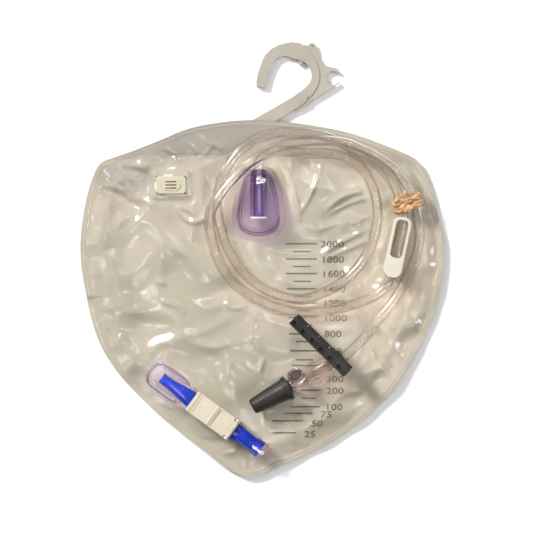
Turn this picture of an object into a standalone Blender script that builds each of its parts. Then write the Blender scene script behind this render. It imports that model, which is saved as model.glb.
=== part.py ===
"""Urine drainage bag, lying face up: film pouch, hanger hook, anti-reflux chamber, coiled inlet tube,
catheter connector and outlet tube with its clamp. Metres, +Z up out of the printed face, +Y to the hook."""

import math

import bmesh
import bpy
from mathutils import Matrix, Vector

MM = 0.001
GAP = 0.3  # what touching pieces keep between them, mm

# Driving sizes, mm
BAG_WIDTH = 272.3
BAG_HEIGHT = 267.0
FILM_T = 0.4
WELD_WIDTH = 3.0
CROWN_RUN = 17.0
OUTLINE_STEP = 13.1  # between the points of the bag's outline

HOOK_T = 4.5
HOOK_WEB_T = 3.0
STEM_WIDTH = 9.0
EYE_RADIUS = 7.5
RIVET_SHAFT_R = 2.8
RIVET_HEAD_R = 4.4
RIVET_HEAD_T = 1.0
PLATE_T = 1.5
PLATE_SIZE = (34.0, 17.0)

TUBE_OD = 8.0
BAND_T = 0.8
BAND_WIDTH = 6.0
BAND_SLACK = 1.1
PINCH_WALL = 2.0
PINCH_LENGTH = 46.0
PINCH_DEPTH = 11.4
PINCH_BLOCK = 15.0  # its closed end, bored for the tube
PINCH_SLACK = 0.8

VENT_SIZE = (22.5, 13.5)
VENT_HEIGHT = 3.4
VENT_WALL = 1.3
VENT_FILTER_T = 0.5
VENT_HOLE_R = 4.0
VENT_BOSS = (14.0, 8.6)
VENT_BOSS_RISE = 0.6
VENT_SLOT = (8.0, 1.2)
VENT_SLOT_PITCH = 2.4

SHEET_T = 0.7  # formed clear sheet of the chamber and the spout holder
BASE_T = 0.6
CHAMBER_RISE = 13.8
CHAMBER_OUTLET_R = 6.0
BARREL_WALL = 2.0
BARREL_LENGTH = 35.0
SOCKET_DEPTH = 9.0
FLAP_T = 0.8

CAP_R = 8.1
CAP_TIP_R = 5.9
CAP_LENGTH = 31.5
CAP_FLANGE_R = 9.2
CAP_WALL = 1.2
CAP_SEAT = 8.0
BODY_LENGTH = 38.0
BODY_BORE_R = 2.2
NECK_R = 4.7
GRIP_WIDTH = 17.0
GRIP_T = 7.0
GRIP_LENGTH = 21.0
GRIP_START = 3.0  # from the body's end to its grip
GRIP_GROOVES = 5
GROOVE_PITCH = 3.5
GROOVE_WIDTH = 1.2
PORT_R = 6.2
PORT_REACH = 10.0
SEPTUM_R = 4.6

CLIP_LENGTH = 57.0
CLIP_WIDTH = 10.0
CLIP_BASE_T = 2.2
CLIP_JAW_T = 3.2
CLIP_WALL = 1.3
CLIP_POCKETS = 6
CLIP_FLOOR = 0.7
JAW_PIN_R = 0.9
COLLAR_BACK = 5.2  # from the connector to the middle of the collar
COLLAR_LENGTH = 5.0

DRAIN_R = 5.6
DRAIN_TIP_R = 4.0
DRAIN_WALL = 1.3
CLAMP_LENGTH = 39.0
CLAMP_WIDTH = 17.4
CLAMP_WALL = 1.5
LEVER_T = 4.0
LEVER_PIN_R = 0.9
PINCHED_HALF = (6.3, 2.0)
PORT_WALL = 0.9

# Heights of the stack under the header and of what lies on the front film, mm
HOOK_Z = GAP
PLATE_Z = HOOK_Z + HOOK_T + GAP
HEADER_LIFT = PLATE_Z + PLATE_T + GAP
WELD_Z = FILM_T + GAP
CROWN = HEADER_LIFT
FACE_Z = WELD_Z + CROWN + FILM_T
REST_Z = FACE_Z + GAP
TUBE_R = TUBE_OD / 2
TUBE_Z = REST_Z + TUBE_R
BARREL_R = TUBE_R + GAP + BARREL_WALL
BARREL_Z = REST_Z + BASE_T + GAP + BARREL_R + GAP
CONNECTOR_Z = REST_Z + CAP_FLANGE_R
DRAIN_Z = REST_Z + DRAIN_R + GAP + PORT_WALL

# The bag's edge, anticlockwise from the upper left corner, mm
BAG_EDGE = [
    (-121.5, 70.5), (-131.5, 46.0), (-136.5, 9.0), (-133.5, -21.0), (-124.5, -58.5), (-108.8, -86.2),
    (-82.5, -114.0), (-48.0, -141.8), (-14.2, -164.2), (18.8, -154.5), (55.5, -136.5), (90.0, -108.8),
    (112.5, -77.2), (129.0, -42.8), (135.8, -6.8), (135.0, 17.2), (129.0, 45.0), (118.5, 70.5),
    (101.2, 80.2), (66.0, 93.0), (28.5, 100.1), (-6.8, 102.8), (-31.5, 100.9), (-56.2, 96.0),
    (-78.0, 87.0), (-105.8, 76.5),
]


def spread(points, axis):
    """How far points reach along one axis."""
    values = [p[axis] for p in points]
    return max(values) - min(values)


BAG_SCALE = (BAG_WIDTH / spread(BAG_EDGE, 0), BAG_HEIGHT / spread(BAG_EDGE, 1))


def on_bag(x, y):
    """A place on the bag that follows its width and height."""
    return (x * BAG_SCALE[0], y * BAG_SCALE[1])


# Places on the bag, mm
PIVOT = on_bag(-13.5, 94.2)
HEADER_LINE = 84.0 * BAG_SCALE[1]
HEADER_FOOT = 62.0 * BAG_SCALE[1]
HEADER_ENDS = tuple(x * BAG_SCALE[0] for x in (-108.0, -66.0, 100.0, 124.0))
BAG_MIDDLE = on_bag(0.0, -25.0)
CHAMBER_AT = (-2.6, 40.5)
CHAMBER_OUTLET = (CHAMBER_AT[0], CHAMBER_AT[1] - 12.0)
VENT_AT = on_bag(-68.2, 54.0)
BAND_AT = (109.4, 39.6)
BAND_TURN = math.radians(17.5)
BAND_SPREAD = 9.4  # between the two turns that the band holds
PINCH_AT = (101.2, 7.2)
PINCH_LIFT = BAND_T + BAND_SLACK
PINCH_TURN = math.radians(257.8)
CLIP_TURN = math.radians(-44.5)
CLIP_TILT = math.radians(-7.0)  # its long end lies on the coil
CONNECTOR_AT = (54.0, -78.8)  # where the tube meets the connector body
CONNECTOR_TURN = math.radians(208.5)
DRAIN_AT = on_bag(-36.5, -118.5)
DRAIN_TURN = math.radians(-36.0)

# The tube's route from the chamber to the connector: x, y and the lift above lying on the film, mm
TUBE_ROUTE = [
    (-1.6, 71.1, 3.2), (1.2, 75.3, 2.0), (5.4, 78.1, 0.8), (10.4, 79.1, 0.0), (20.0, 78.7, 0.0),
    (30.0, 77.9, 0.0), (46.0, 77.6, 0.0), (56.0, 76.4, 0.0), (64.9, 73.1, 0.0), (75.8, 65.2, 0.0),
    (83.6, 51.0, 0.0), (86.4, 37.0, 0.0), (85.8, 23.5, 0.0), (81.0, 7.1, 0.0), (72.8, -6.8, 0.0),
    (61.0, -18.0, 0.0), (45.4, -27.0, 0.0), (28.9, -31.8, 0.0), (12.0, -28.5, 0.0), (-2.2, -21.4, 0.0),
    (-14.0, -11.5, 0.0), (-21.4, -0.8, 0.0), (-27.0, 9.8, 0.0), (-30.3, 20.6, 0.0), (-32.6, 30.8, 0.0),
    (-33.6, 40.0, 0.0), (-32.6, 49.0, 0.0), (-29.6, 59.5, 0.0), (-23.8, 70.6, 0.0), (-16.2, 79.6, 0.0),
    (-6.6, 86.8, 0.0), (3.2, 91.0, 0.0), (14.5, 93.4, 0.0), (28.5, 93.4, 0.0), (42.0, 92.2, 0.0),
    (51.0, 89.6, 0.0), (58.5, 86.3, 0.0), (66.5, 82.0, 0.0), (74.2, 77.4, 0.0), (84.0, 71.0, 0.0),
    (93.4, 61.9, 0.3), (100.6, 51.0, 1.2), (104.7, 39.6, 1.9), (106.0, 31.0, 1.9), (105.0, 24.8, 1.9),
    (102.9, 14.8, 1.9), (100.7, 4.8, 1.9), (98.5, -5.2, 1.9), (96.6, -14.0, 1.9), (92.4, -22.6, 1.0),
    (84.8, -29.0, 0.0), (75.0, -33.4, 0.0), (63.5, -37.0, 0.0), (51.5, -39.6, 0.0), (39.8, -41.2, 0.0),
    (27.8, -41.5, 0.0), (14.2, -38.9, 0.0), (3.0, -34.6, 0.0), (-7.5, -29.4, 0.0), (-20.4, -20.0, 0.0),
    (-28.6, -9.6, 0.0), (-34.6, 3.0, 0.0), (-38.4, 18.0, 1.3), (-39.2, 26.0, 4.2), (-38.0, 34.0, 7.8),
    (-33.6, 42.5, 8.9), (-27.8, 50.8, 8.2), (-18.2, 61.8, 8.8), (-9.6, 69.6, 12.0), (-0.8, 75.4, 12.3),
    (5.5, 79.2, 10.4), (12.0, 82.2, 7.9), (18.0, 84.6, 6.4), (30.0, 86.2, 5.2), (38.0, 86.9, 6.8),
    (46.0, 87.0, 8.3), (55.5, 86.6, 8.8), (65.0, 84.7, 8.8), (74.0, 80.8, 8.6), (86.0, 75.0, 7.8),
    (98.4, 66.2, 6.8), (107.6, 54.4, 5.0), (112.0, 46.2, 2.4), (114.6, 37.4, 1.9), (117.8, 21.0, 0.6),
    (116.9, 6.0, 0.2), (111.8, -8.8, 0.0), (105.7, -21.3, 0.0), (97.4, -34.5, 0.0), (85.0, -49.3, 1.0),
    (72.6, -64.2, 3.8),
]
TUBE_STEP = 14.15  # between the points of the tube's centre line

MATERIALS = {
    "rear_film": ((0.72, 0.69, 0.62), 0.45, 0.0),
    "clear_film": ((0.80, 0.77, 0.70), 0.18, 0.0),
    "cream_plastic": ((0.80, 0.76, 0.63), 0.42, 0.0),
    "clear_tube": ((0.78, 0.74, 0.68), 0.15, 0.0),
    "purple_clear": ((0.42, 0.33, 0.48), 0.12, 0.0),
    "filter_white": ((0.88, 0.88, 0.86), 0.80, 0.0),
    "flap_white": ((0.82, 0.82, 0.84), 0.50, 0.0),
    "tan_rubber": ((0.70, 0.45, 0.25), 0.60, 0.0),
    "pinch_white": ((0.84, 0.82, 0.76), 0.38, 0.0),
    "black_plastic": ((0.05, 0.05, 0.045), 0.42, 0.0),
    "grey_septum": ((0.30, 0.26, 0.30), 0.55, 0.0),
    "blue_tube": ((0.02, 0.07, 0.55), 0.30, 0.0),
    "holder_clear": ((0.62, 0.58, 0.74), 0.12, 0.0),
    "pin_steel": ((0.60, 0.60, 0.62), 0.30, 1.0),
}


def clear_scene():
    """Empties the scene, so the model is the same however often the script runs."""
    for obj in list(bpy.data.objects):
        bpy.data.objects.remove(obj, do_unlink=True)


def collection(name):
    group = bpy.data.collections.new(name)
    bpy.context.scene.collection.children.link(group)
    return group


def material(name):
    """The named Principled material, made once."""
    found = bpy.data.materials.get(name)
    if found:
        return found
    made = bpy.data.materials.new(name)
    made.use_nodes = True
    shader = made.node_tree.nodes["Principled BSDF"]
    colour, roughness, metallic = MATERIALS[name]
    shader.inputs["Base Color"].default_value = (*colour, 1.0)
    shader.inputs["Roughness"].default_value = roughness
    shader.inputs["Metallic"].default_value = metallic
    return made


clear_scene()
PARTS = collection("urine_drainage_bag")
CUTTERS = collection("cutters")


def mm(*values):
    """A vector in metres from millimetres."""
    return Vector(value * MM for value in values)


def finish(obj, slot, smooth_deg=40.0):
    """Puts an object in the parts collection with its material and smooth faces."""
    for group in list(obj.users_collection):
        group.objects.unlink(obj)
    PARTS.objects.link(obj)
    obj.data.materials.clear()
    obj.data.materials.append(material(slot))
    if obj.type == "MESH":
        obj.data.shade_smooth()
        obj.data.set_sharp_from_angle(angle=math.radians(smooth_deg))
    return obj


def as_cutter(obj):
    """Keeps an object only as a guide for Boolean cuts."""
    for group in list(obj.users_collection):
        group.objects.unlink(obj)
    CUTTERS.objects.link(obj)
    obj.hide_render = True
    obj.display_type = "WIRE"
    return obj


def boolean(obj, other, operation):
    step = obj.modifiers.new(f"{operation.lower()}_{other.name}", "BOOLEAN")
    step.operation = operation
    step.object = other
    step.solver = "EXACT"
    return obj


def mesh_object(name, build):
    """A mesh object whose mesh is made by build(bm), in metres."""
    bm = bmesh.new()
    build(bm)
    bmesh.ops.recalc_face_normals(bm, faces=bm.faces)
    mesh = bpy.data.meshes.new(name)
    bm.to_mesh(mesh)
    bm.free()
    obj = bpy.data.objects.new(name, mesh)
    PARTS.objects.link(obj)
    return obj


def placed(obj, at, turn=0.0, tilt=0.0):
    """Puts an object at a point in mm, turned about Z, after a tilt about its own Y."""
    spin = Matrix.Rotation(turn, 4, "Z") @ Matrix.Rotation(tilt, 4, "Y")
    obj.matrix_world = Matrix.Translation(mm(*at)) @ spin
    return obj


def smooth_path(points, step, closed=False):
    """Points about a step apart, spread evenly along a Catmull-Rom curve through the given points."""
    knots = [Vector(p) for p in points]
    size = len(knots)
    spans = size if closed else size - 1
    dense = []
    for i in range(spans):
        if closed:
            a, b, c, d = (knots[(i + k) % size] for k in (-1, 0, 1, 2))
        else:
            b, c = knots[i], knots[i + 1]
            a = knots[i - 1] if i else b + (b - c)
            d = knots[i + 2] if i + 2 < size else c + (c - b)
        for share in range(12):
            t = share / 12
            square = (2 * a - 5 * b + 4 * c - d) * t**2
            cube = (3 * b - a - 3 * c + d) * t**3
            dense.append(0.5 * (2 * b + (c - a) * t + square + cube))
    dense.append(dense[0] if closed else knots[-1])
    reach = [0.0]
    for p, q in zip(dense, dense[1:]):
        reach.append(reach[-1] + (q - p).length)
    shares = max(round(reach[-1] / step), 3)
    found, at = [], 0
    for k in range(shares if closed else shares + 1):
        want = reach[-1] * k / shares
        while at < len(reach) - 2 and reach[at + 1] < want:
            at += 1
        share = (want - reach[at]) / max(reach[at + 1] - reach[at], 1e-9)
        found.append(dense[at].lerp(dense[at + 1], min(share, 1.0)))
    return found


def rise(value, low, high):
    """0 below low, 1 above high and a smooth step between."""
    t = min(max((value - low) / (high - low), 0.0), 1.0)
    return t * t * (3 - 2 * t)


def bridge(bm, ring, other):
    """Quads between two rings of as many vertices."""
    size = len(ring)
    for i in range(size):
        bm.faces.new((ring[i], ring[(i + 1) % size], other[(i + 1) % size], other[i]))


def ring_surface(bm, rings, middle):
    """A sheet from concentric rings of points, closed at a middle point, all in mm."""
    loops = [[bm.verts.new(mm(*p)) for p in ring] for ring in rings]
    for ring, other in zip(loops, loops[1:]):
        bridge(bm, ring, other)
    centre = bm.verts.new(mm(*middle))
    last = loops[-1]
    for i in range(len(last)):
        bm.faces.new((last[i], last[(i + 1) % len(last)], centre))


def solidify(obj, thickness, offset=1.0):
    step = obj.modifiers.new("thickness", "SOLIDIFY")
    step.thickness = thickness * MM
    step.offset = offset
    step.use_even_offset = True
    return obj


def facing_up(obj):
    """Turns the faces of an open sheet so that they point up."""
    mesh = obj.data
    if sum(p.normal.z * p.area for p in mesh.polygons) < 0:
        mesh.flip_normals()
    return obj


def prism(bm, outline, low, high):
    """A solid with a flat outline in mm between two heights."""
    bottom = [bm.verts.new(mm(x, y, low)) for x, y in outline]
    top = [bm.verts.new(mm(x, y, high)) for x, y in outline]
    bm.faces.new(bottom)
    bm.faces.new(top)
    bridge(bm, bottom, top)


def box(name, size, at=(0.0, 0.0, 0.0)):
    """A box of a size in mm about a point in mm, as its own mesh."""
    shape = Matrix.Translation(mm(*at)) @ Matrix.Diagonal((*mm(*size), 1.0))
    return mesh_object(name, lambda bm: bmesh.ops.create_cube(bm, size=1.0, matrix=shape))


def rod(name, radius, start, end, segments=24):
    """A round rod in mm between two points."""
    a, b = mm(*start), mm(*end)
    turn = (b - a).to_track_quat("Z", "Y").to_matrix().to_4x4()

    def build(bm):
        bmesh.ops.create_cone(
            bm, cap_ends=True, segments=segments, radius1=radius * MM, radius2=radius * MM,
            depth=(b - a).length, matrix=Matrix.Translation((a + b) / 2) @ turn,
        )

    return mesh_object(name, build)


def turned(name, profile, steps=32):
    """A turned piece about its own X axis from a closed profile of (x, radius) in mm."""
    mesh = bpy.data.meshes.new(name)
    count = len(profile)
    closed = profile[0][1] > 0 or profile[-1][1] > 0
    edges = [(i, (i + 1) % count) for i in range(count if closed else count - 1)]
    mesh.from_pydata([mm(x, 0, r) for x, r in profile], edges, [])
    obj = bpy.data.objects.new(name, mesh)
    PARTS.objects.link(obj)
    step = obj.modifiers.new("turn", "SCREW")
    step.axis = "X"
    step.steps = steps
    step.render_steps = steps
    step.use_merge_vertices = True
    step.merge_threshold = 1e-5
    step.use_normal_calculate = True
    return obj


def applied(obj):
    """The object with its modifiers applied and its faces pointing out."""
    graph = bpy.context.evaluated_depsgraph_get()
    mesh = bpy.data.meshes.new_from_object(obj.evaluated_get(graph))
    bm = bmesh.new()
    bm.from_mesh(mesh)
    bmesh.ops.remove_doubles(bm, verts=bm.verts, dist=1e-6)
    bmesh.ops.recalc_face_normals(bm, faces=bm.faces)
    bm.to_mesh(mesh)
    bm.free()
    obj.modifiers.clear()
    obj.data = mesh
    return obj


def rounded(obj, width, segments=2):
    step = obj.modifiers.new("edges", "BEVEL")
    step.width = width * MM
    step.segments = segments
    step.limit_method = "ANGLE"
    step.angle_limit = math.radians(50)
    return obj


def round_rect(width, height, radius, corner_steps=5):
    """The outline of a rectangle about the origin with round corners, in mm."""
    points = []
    for turn, (sx, sy) in enumerate(((1, 1), (-1, 1), (-1, -1), (1, -1))):
        for step in range(corner_steps + 1):
            angle = math.pi / 2 * (turn + step / corner_steps)
            x = sx * (width / 2 - radius) + radius * math.cos(angle)
            y = sy * (height / 2 - radius) + radius * math.sin(angle)
            points.append((x, y))
    return points


# The bag


def edge_inset(amount):
    """The bag's edge moved inwards by an amount in mm."""
    edge = smooth_path([(*on_bag(x, y), 0.0) for x, y in BAG_EDGE], OUTLINE_STEP, closed=True)
    size = len(edge)
    found = []
    for i, p in enumerate(edge):
        along = (edge[(i + 1) % size] - edge[i - 1]).normalized()
        found.append((p.x - along.y * amount, p.y + along.x * amount))
    return found


def header_height(x, y):
    """How far the hook and its plate lift the rear film above the surface that the bag lies on."""
    across = rise(x, *HEADER_ENDS[:2]) * (1 - rise(x, *HEADER_ENDS[2:]))
    return HEADER_LIFT * rise(y, HEADER_FOOT, HEADER_LINE) * across


def crown_height(x, y, inset):
    """How far air and folds lift the front film, from nothing at the weld to a flat top."""
    lifted = header_height(x, y)
    return lifted + (CROWN - lifted) * rise(inset, WELD_WIDTH, WELD_WIDTH + CROWN_RUN)


def film_rings(height):
    """The rings of a film from the edge inwards, each point at height(x, y, inset)."""
    middle = Vector(BAG_MIDDLE)
    insets = [0.0, WELD_WIDTH] + [WELD_WIDTH + CROWN_RUN * k / 3 for k in (1, 2, 3)]
    rings = [[(x, y, height(x, y, inset)) for x, y in edge_inset(inset)] for inset in insets]
    inner = edge_inset(insets[-1])
    for share in (0.82, 0.6, 0.3):
        ring = []
        for x, y in inner:
            p = middle.lerp(Vector((x, y)), share)
            ring.append((p.x, p.y, height(p.x, p.y, insets[-1])))
        rings.append(ring)
    return rings, (middle.x, middle.y, height(middle.x, middle.y, insets[-1]))


def rear_film():
    rings, middle = film_rings(lambda x, y, inset: header_height(x, y))
    obj = mesh_object("rear_film", lambda bm: ring_surface(bm, rings, middle))
    solidify(facing_up(obj), FILM_T)
    return finish(applied(obj), "rear_film")


def front_film():
    """The clear sheet, with the openings under the chamber and the vent."""
    rings, middle = film_rings(lambda x, y, inset: WELD_Z + crown_height(x, y, inset))
    obj = mesh_object("front_film", lambda bm: ring_surface(bm, rings, middle))
    solidify(facing_up(obj), FILM_T)
    applied(obj)
    for name, (x, y), radius in (
        ("film_hole_chamber", CHAMBER_OUTLET, CHAMBER_OUTLET_R + 0.5),
        ("film_hole_vent", VENT_AT, VENT_HOLE_R),
    ):
        cutter = as_cutter(rod(name, radius, (x, y, FACE_Z - 2), (x, y, FACE_Z + 2)))
        boolean(obj, cutter, "DIFFERENCE")
    return finish(obj, "clear_film")


# The hanger


def ribbon_outline(path, step=4.6):
    """The outline of a flat band that follows (x, y, width) points in mm."""
    line = smooth_path(path, step)
    left, right = [], []
    for i, p in enumerate(line):
        ahead = line[min(i + 1, len(line) - 1)] - line[max(i - 1, 0)]
        along = Vector((ahead.x, ahead.y)).normalized()
        side = Vector((-along.y, along.x)) * p.z / 2
        left.append((p.x + side.x, p.y + side.y))
        right.append((p.x - side.x, p.y - side.y))
    return left + right[::-1]


def arc_outline(centre, inner, wall, span, steps=14):
    """The outline of part of a ring between two angles in degrees."""
    start, end = span
    points = []
    for radius, order in ((inner + wall, range(steps + 1)), (inner, range(steps, -1, -1))):
        for k in order:
            angle = math.radians(start + (end - start) * k / steps)
            points.append((centre[0] + radius * math.cos(angle), centre[1] + radius * math.sin(angle)))
    return points


# The hook's forms, mm from the pivot: its reach as (x, y, width), its web, and what is on them
HOOK_REACH = [
    (0.0, 0.0, STEM_WIDTH), (15.5, 8.8, STEM_WIDTH), (34.0, 19.4, STEM_WIDTH), (42.5, 25.0, 8.6),
    (49.1, 31.2, 7.0), (53.3, 37.8, 6.0), (53.7, 45.0, 5.8), (51.1, 51.8, 6.6), (45.9, 57.4, 9.8),
    (39.5, 61.0, 12.6), (32.1, 61.8, 10.0), (24.3, 59.8, 8.4), (18.9, 54.8, 8.4), (15.7, 47.4, 7.7),
    (13.3, 39.8, 7.6), (12.6, 33.6, 6.6),
]
HOOK_WEB = [
    (36.0, 18.6), (38.8, 15.2), (49.0, 20.8), (49.5, 22.8), (57.1, 27.2), (63.7, 31.2), (72.2, 36.8),
    (70.9, 38.3), (66.9, 40.4), (70.9, 44.2), (71.9, 45.8), (68.8, 48.2), (59.3, 49.8), (57.3, 53.8),
    (54.7, 57.8), (54.5, 62.8), (50.7, 64.6), (45.0, 65.2), (47.5, 55.8), (51.5, 49.8), (53.5, 41.8),
    (50.5, 33.8), (45.5, 27.8),
]
TUBE_CLIP_AT = (66.9, 40.4)
TUBE_CLIP_R = TUBE_R + 1.2
CURL_AT = (51.1, 63.8)
CURL_R = 1.5
CURL_WALL = 1.6
CURL_SPAN = (-60.0, 215.0)
NUB_AT = (42.2, 52.0)
NUB_R = 1.7
TIP_RECESS = (4.2, 2.4, 2.0)
TIP_AT = (12.7, 33.8)
DIMPLE_AT = (48.2, 25.2)


def hook():
    """One flat moulding: the rail hook, its outer web with a tube clip and a curl, the stem and the eye."""
    low = HOOK_Z
    high = HOOK_Z + HOOK_T
    inset = (HOOK_T - HOOK_WEB_T) / 2
    web = (low + inset, high - inset)
    eye = (0.0, 0.0)
    curl = arc_outline(CURL_AT, CURL_R, CURL_WALL, CURL_SPAN)
    at_pivot = Matrix.Translation(mm(*PIVOT, 0))
    obj = mesh_object("hook", lambda bm: prism(bm, ribbon_outline(HOOK_REACH), low, high))
    added = [
        mesh_object("hook_web", lambda bm: prism(bm, HOOK_WEB, *web)),
        mesh_object("hook_curl", lambda bm: prism(bm, curl, *web)),
        rod("hook_nub", NUB_R, (*NUB_AT, web[0]), (*NUB_AT, web[1]), 16),
        rod("hook_eye", EYE_RADIUS, (*eye, low), (*eye, high), 32),
    ]
    sunk = low + RIVET_HEAD_T + 2 * GAP
    cut = [
        rod("hook_bore", RIVET_SHAFT_R + GAP, (*eye, low - 1), (*eye, high + 1)),
        rod("hook_counterbore", RIVET_HEAD_R + GAP, (*eye, low - 1), (*eye, sunk)),
        rod("hook_clip_seat", TUBE_CLIP_R, (*TUBE_CLIP_AT, low - 1), (*TUBE_CLIP_AT, high + 1), 32),
        box("hook_tip_recess", TIP_RECESS, (*TIP_AT, (low + high) / 2)),
        rod("hook_dimple", 1.0, (*DIMPLE_AT, web[1] - 0.5), (*DIMPLE_AT, high + 1), 16),
    ]
    obj.matrix_world = at_pivot
    for operation, pieces in (("UNION", added), ("DIFFERENCE", cut)):
        for piece in pieces:
            piece.matrix_world = at_pivot @ piece.matrix_world
            boolean(obj, as_cutter(piece), operation)
    return finish(obj, "cream_plastic", 30)


def hanger_plate():
    """The plate welded behind the header, which the rivet holds the hook to."""
    outline = [(PIVOT[0] + x, PIVOT[1] + y - 1.5) for x, y in round_rect(*PLATE_SIZE, 5.0)]
    obj = mesh_object("hanger_plate", lambda bm: prism(bm, outline, PLATE_Z, PLATE_Z + PLATE_T))
    ends = (PLATE_Z - 1, PLATE_Z + PLATE_T + 1)
    hole = rod("plate_hole", RIVET_SHAFT_R + GAP, (*PIVOT, ends[0]), (*PIVOT, ends[1]))
    boolean(obj, as_cutter(hole), "DIFFERENCE")
    return finish(obj, "cream_plastic")


def hanger_rivet():
    """A headed pin up through the hook's eye, flush with the plate's top."""
    foot = HOOK_Z + GAP
    profile = [
        (foot, 0.0), (foot, RIVET_HEAD_R), (foot + RIVET_HEAD_T, RIVET_HEAD_R),
        (foot + RIVET_HEAD_T, RIVET_SHAFT_R), (PLATE_Z + PLATE_T, RIVET_SHAFT_R), (PLATE_Z + PLATE_T, 0.0),
    ]
    obj = turned("hanger_rivet", profile, 24)
    obj.matrix_world = Matrix.Translation(mm(*PIVOT, 0)) @ Matrix.Rotation(-math.pi / 2, 4, "Y")
    return finish(applied(obj), "cream_plastic")


# The vent


def vent_housing():
    """A slotted cover over the vent's hole, hollow below for the filter."""
    outline = round_rect(*VENT_SIZE, 2.5)
    top = REST_Z + VENT_HEIGHT
    obj = mesh_object("vent_housing", lambda bm: prism(bm, outline, REST_Z, top))
    obj.location = mm(*VENT_AT, 0)
    rounded(obj, 0.8)
    boss = round_rect(*VENT_BOSS, VENT_BOSS[1] / 2 - 0.1)
    raised = mesh_object("vent_boss", lambda bm: prism(bm, boss, top - VENT_WALL / 2, top + VENT_BOSS_RISE))
    raised.location = mm(*VENT_AT, 0)
    boolean(obj, as_cutter(raised), "UNION")
    hollow = (VENT_SIZE[0] - 2 * VENT_WALL, VENT_SIZE[1] - 2 * VENT_WALL, 2 * (VENT_HEIGHT - VENT_WALL))
    boolean(obj, as_cutter(box("vent_hollow", hollow, (*VENT_AT, REST_Z))), "DIFFERENCE")
    for k in (-1, 0, 1):
        at = (VENT_AT[0], VENT_AT[1] + VENT_SLOT_PITCH * k, top)
        slot = box(f"vent_slot_{k + 1}", (*VENT_SLOT, 2 * VENT_WALL + 3.4), at)
        boolean(obj, as_cutter(slot), "DIFFERENCE")
    return finish(applied(obj), "cream_plastic", 30)


def vent_filter():
    """The membrane against the underside of the housing's top."""
    top = REST_Z + VENT_HEIGHT - VENT_WALL - GAP
    size = (VENT_SIZE[0] - 2 * (VENT_WALL + GAP), VENT_SIZE[1] - 2 * (VENT_WALL + GAP), VENT_FILTER_T)
    return finish(box("vent_filter", size, (*VENT_AT, top - VENT_FILTER_T / 2)), "filter_white")


# The anti-reflux chamber

CHAMBER_FOOT = [
    (7.5, 22.4), (0.0, 24.0), (-7.5, 22.4), (-11.5, 15.5), (-14.4, 2.0), (-16.0, -10.0), (-14.4, -18.2),
    (-9.2, -22.9), (0.0, -24.7), (9.2, -22.9), (14.4, -18.2), (16.0, -10.0), (14.4, 2.0), (11.5, 15.5),
]
CHAMBER_FLANGE = 4.5
DOME_Z = REST_Z + BASE_T + GAP
BARREL_MOUTH = CHAMBER_AT[1] + 24.6
BARREL_END = BARREL_MOUTH - BARREL_LENGTH
FLAP_R = BARREL_R - 0.5


def foot_outline(points, outwards, step=3.4):
    """A closed outline through the points, moved outwards by an amount."""
    line = smooth_path([(x, y, 0.0) for x, y in points], step, closed=True)
    found = []
    for i, p in enumerate(line):
        along = (line[(i + 1) % len(line)] - line[i - 1]).normalized()
        found.append((p.x + along.y * outwards, p.y - along.x * outwards))
    return found


def formed_shell(name, points, flange, shape, height):
    """A thin dome with a flat flange, open below, from (share, height share) rings over a foot outline."""
    rings = [[(x, y, 0.0) for x, y in foot_outline(points, outwards)] for outwards in (flange, 0.6)]
    foot = foot_outline(points, 0.0)
    for share, lift in shape:
        rings.append([(x * share, y * share, lift * height) for x, y in foot])
    obj = mesh_object(name, lambda bm: ring_surface(bm, rings, (0.0, 0.0, height)))
    return solidify(facing_up(obj), SHEET_T)


def chamber_base():
    """The plate on the front film under the dome, with the way into the bag."""
    outline = foot_outline(CHAMBER_FOOT, CHAMBER_FLANGE)
    obj = mesh_object("chamber_base", lambda bm: prism(bm, outline, REST_Z, REST_Z + BASE_T))
    obj.location = mm(*CHAMBER_AT, 0)
    ends = [(*CHAMBER_OUTLET, z) for z in (REST_Z - 1, REST_Z + BASE_T + 1)]
    boolean(obj, as_cutter(rod("base_hole", CHAMBER_OUTLET_R, *ends)), "DIFFERENCE")
    return finish(obj, "purple_clear")


def chamber_dome():
    """The teardrop dome, open at its top end for the barrel."""
    shape = ((0.985, 0.12), (0.95, 0.45), (0.89, 0.74), (0.78, 0.91), (0.58, 0.985), (0.3, 1.0))
    obj = formed_shell("chamber_dome", CHAMBER_FOOT, CHAMBER_FLANGE, shape, CHAMBER_RISE)
    obj.location = mm(*CHAMBER_AT, DOME_Z)
    applied(obj)
    x = CHAMBER_AT[0]
    ends = (BARREL_MOUTH + 8, CHAMBER_AT[1] + 8)
    room = BARREL_R + GAP + 0.1
    way = rod("dome_mouth", room, (x, ends[0], BARREL_Z), (x, ends[1], BARREL_Z))
    boolean(obj, as_cutter(way), "DIFFERENCE")
    return finish(obj, "purple_clear")


def inlet_nozzle():
    """The barrel that the tube is pushed into, with its stop and a lipped end."""
    bore = TUBE_R - 1.0
    socket = TUBE_R + GAP
    profile = [
        (0.0, socket), (0.0, BARREL_R - 0.3), (0.3, BARREL_R), (BARREL_LENGTH - 2.0, BARREL_R),
        (BARREL_LENGTH - 0.6, BARREL_R - 0.6), (BARREL_LENGTH, BARREL_R - 2.0), (BARREL_LENGTH, bore),
        (SOCKET_DEPTH, bore), (SOCKET_DEPTH, socket),
    ]
    obj = turned("inlet_nozzle", profile, 24)
    placed(obj, (CHAMBER_AT[0], BARREL_MOUTH, BARREL_Z), -math.pi / 2)
    return finish(applied(obj), "purple_clear")


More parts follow.
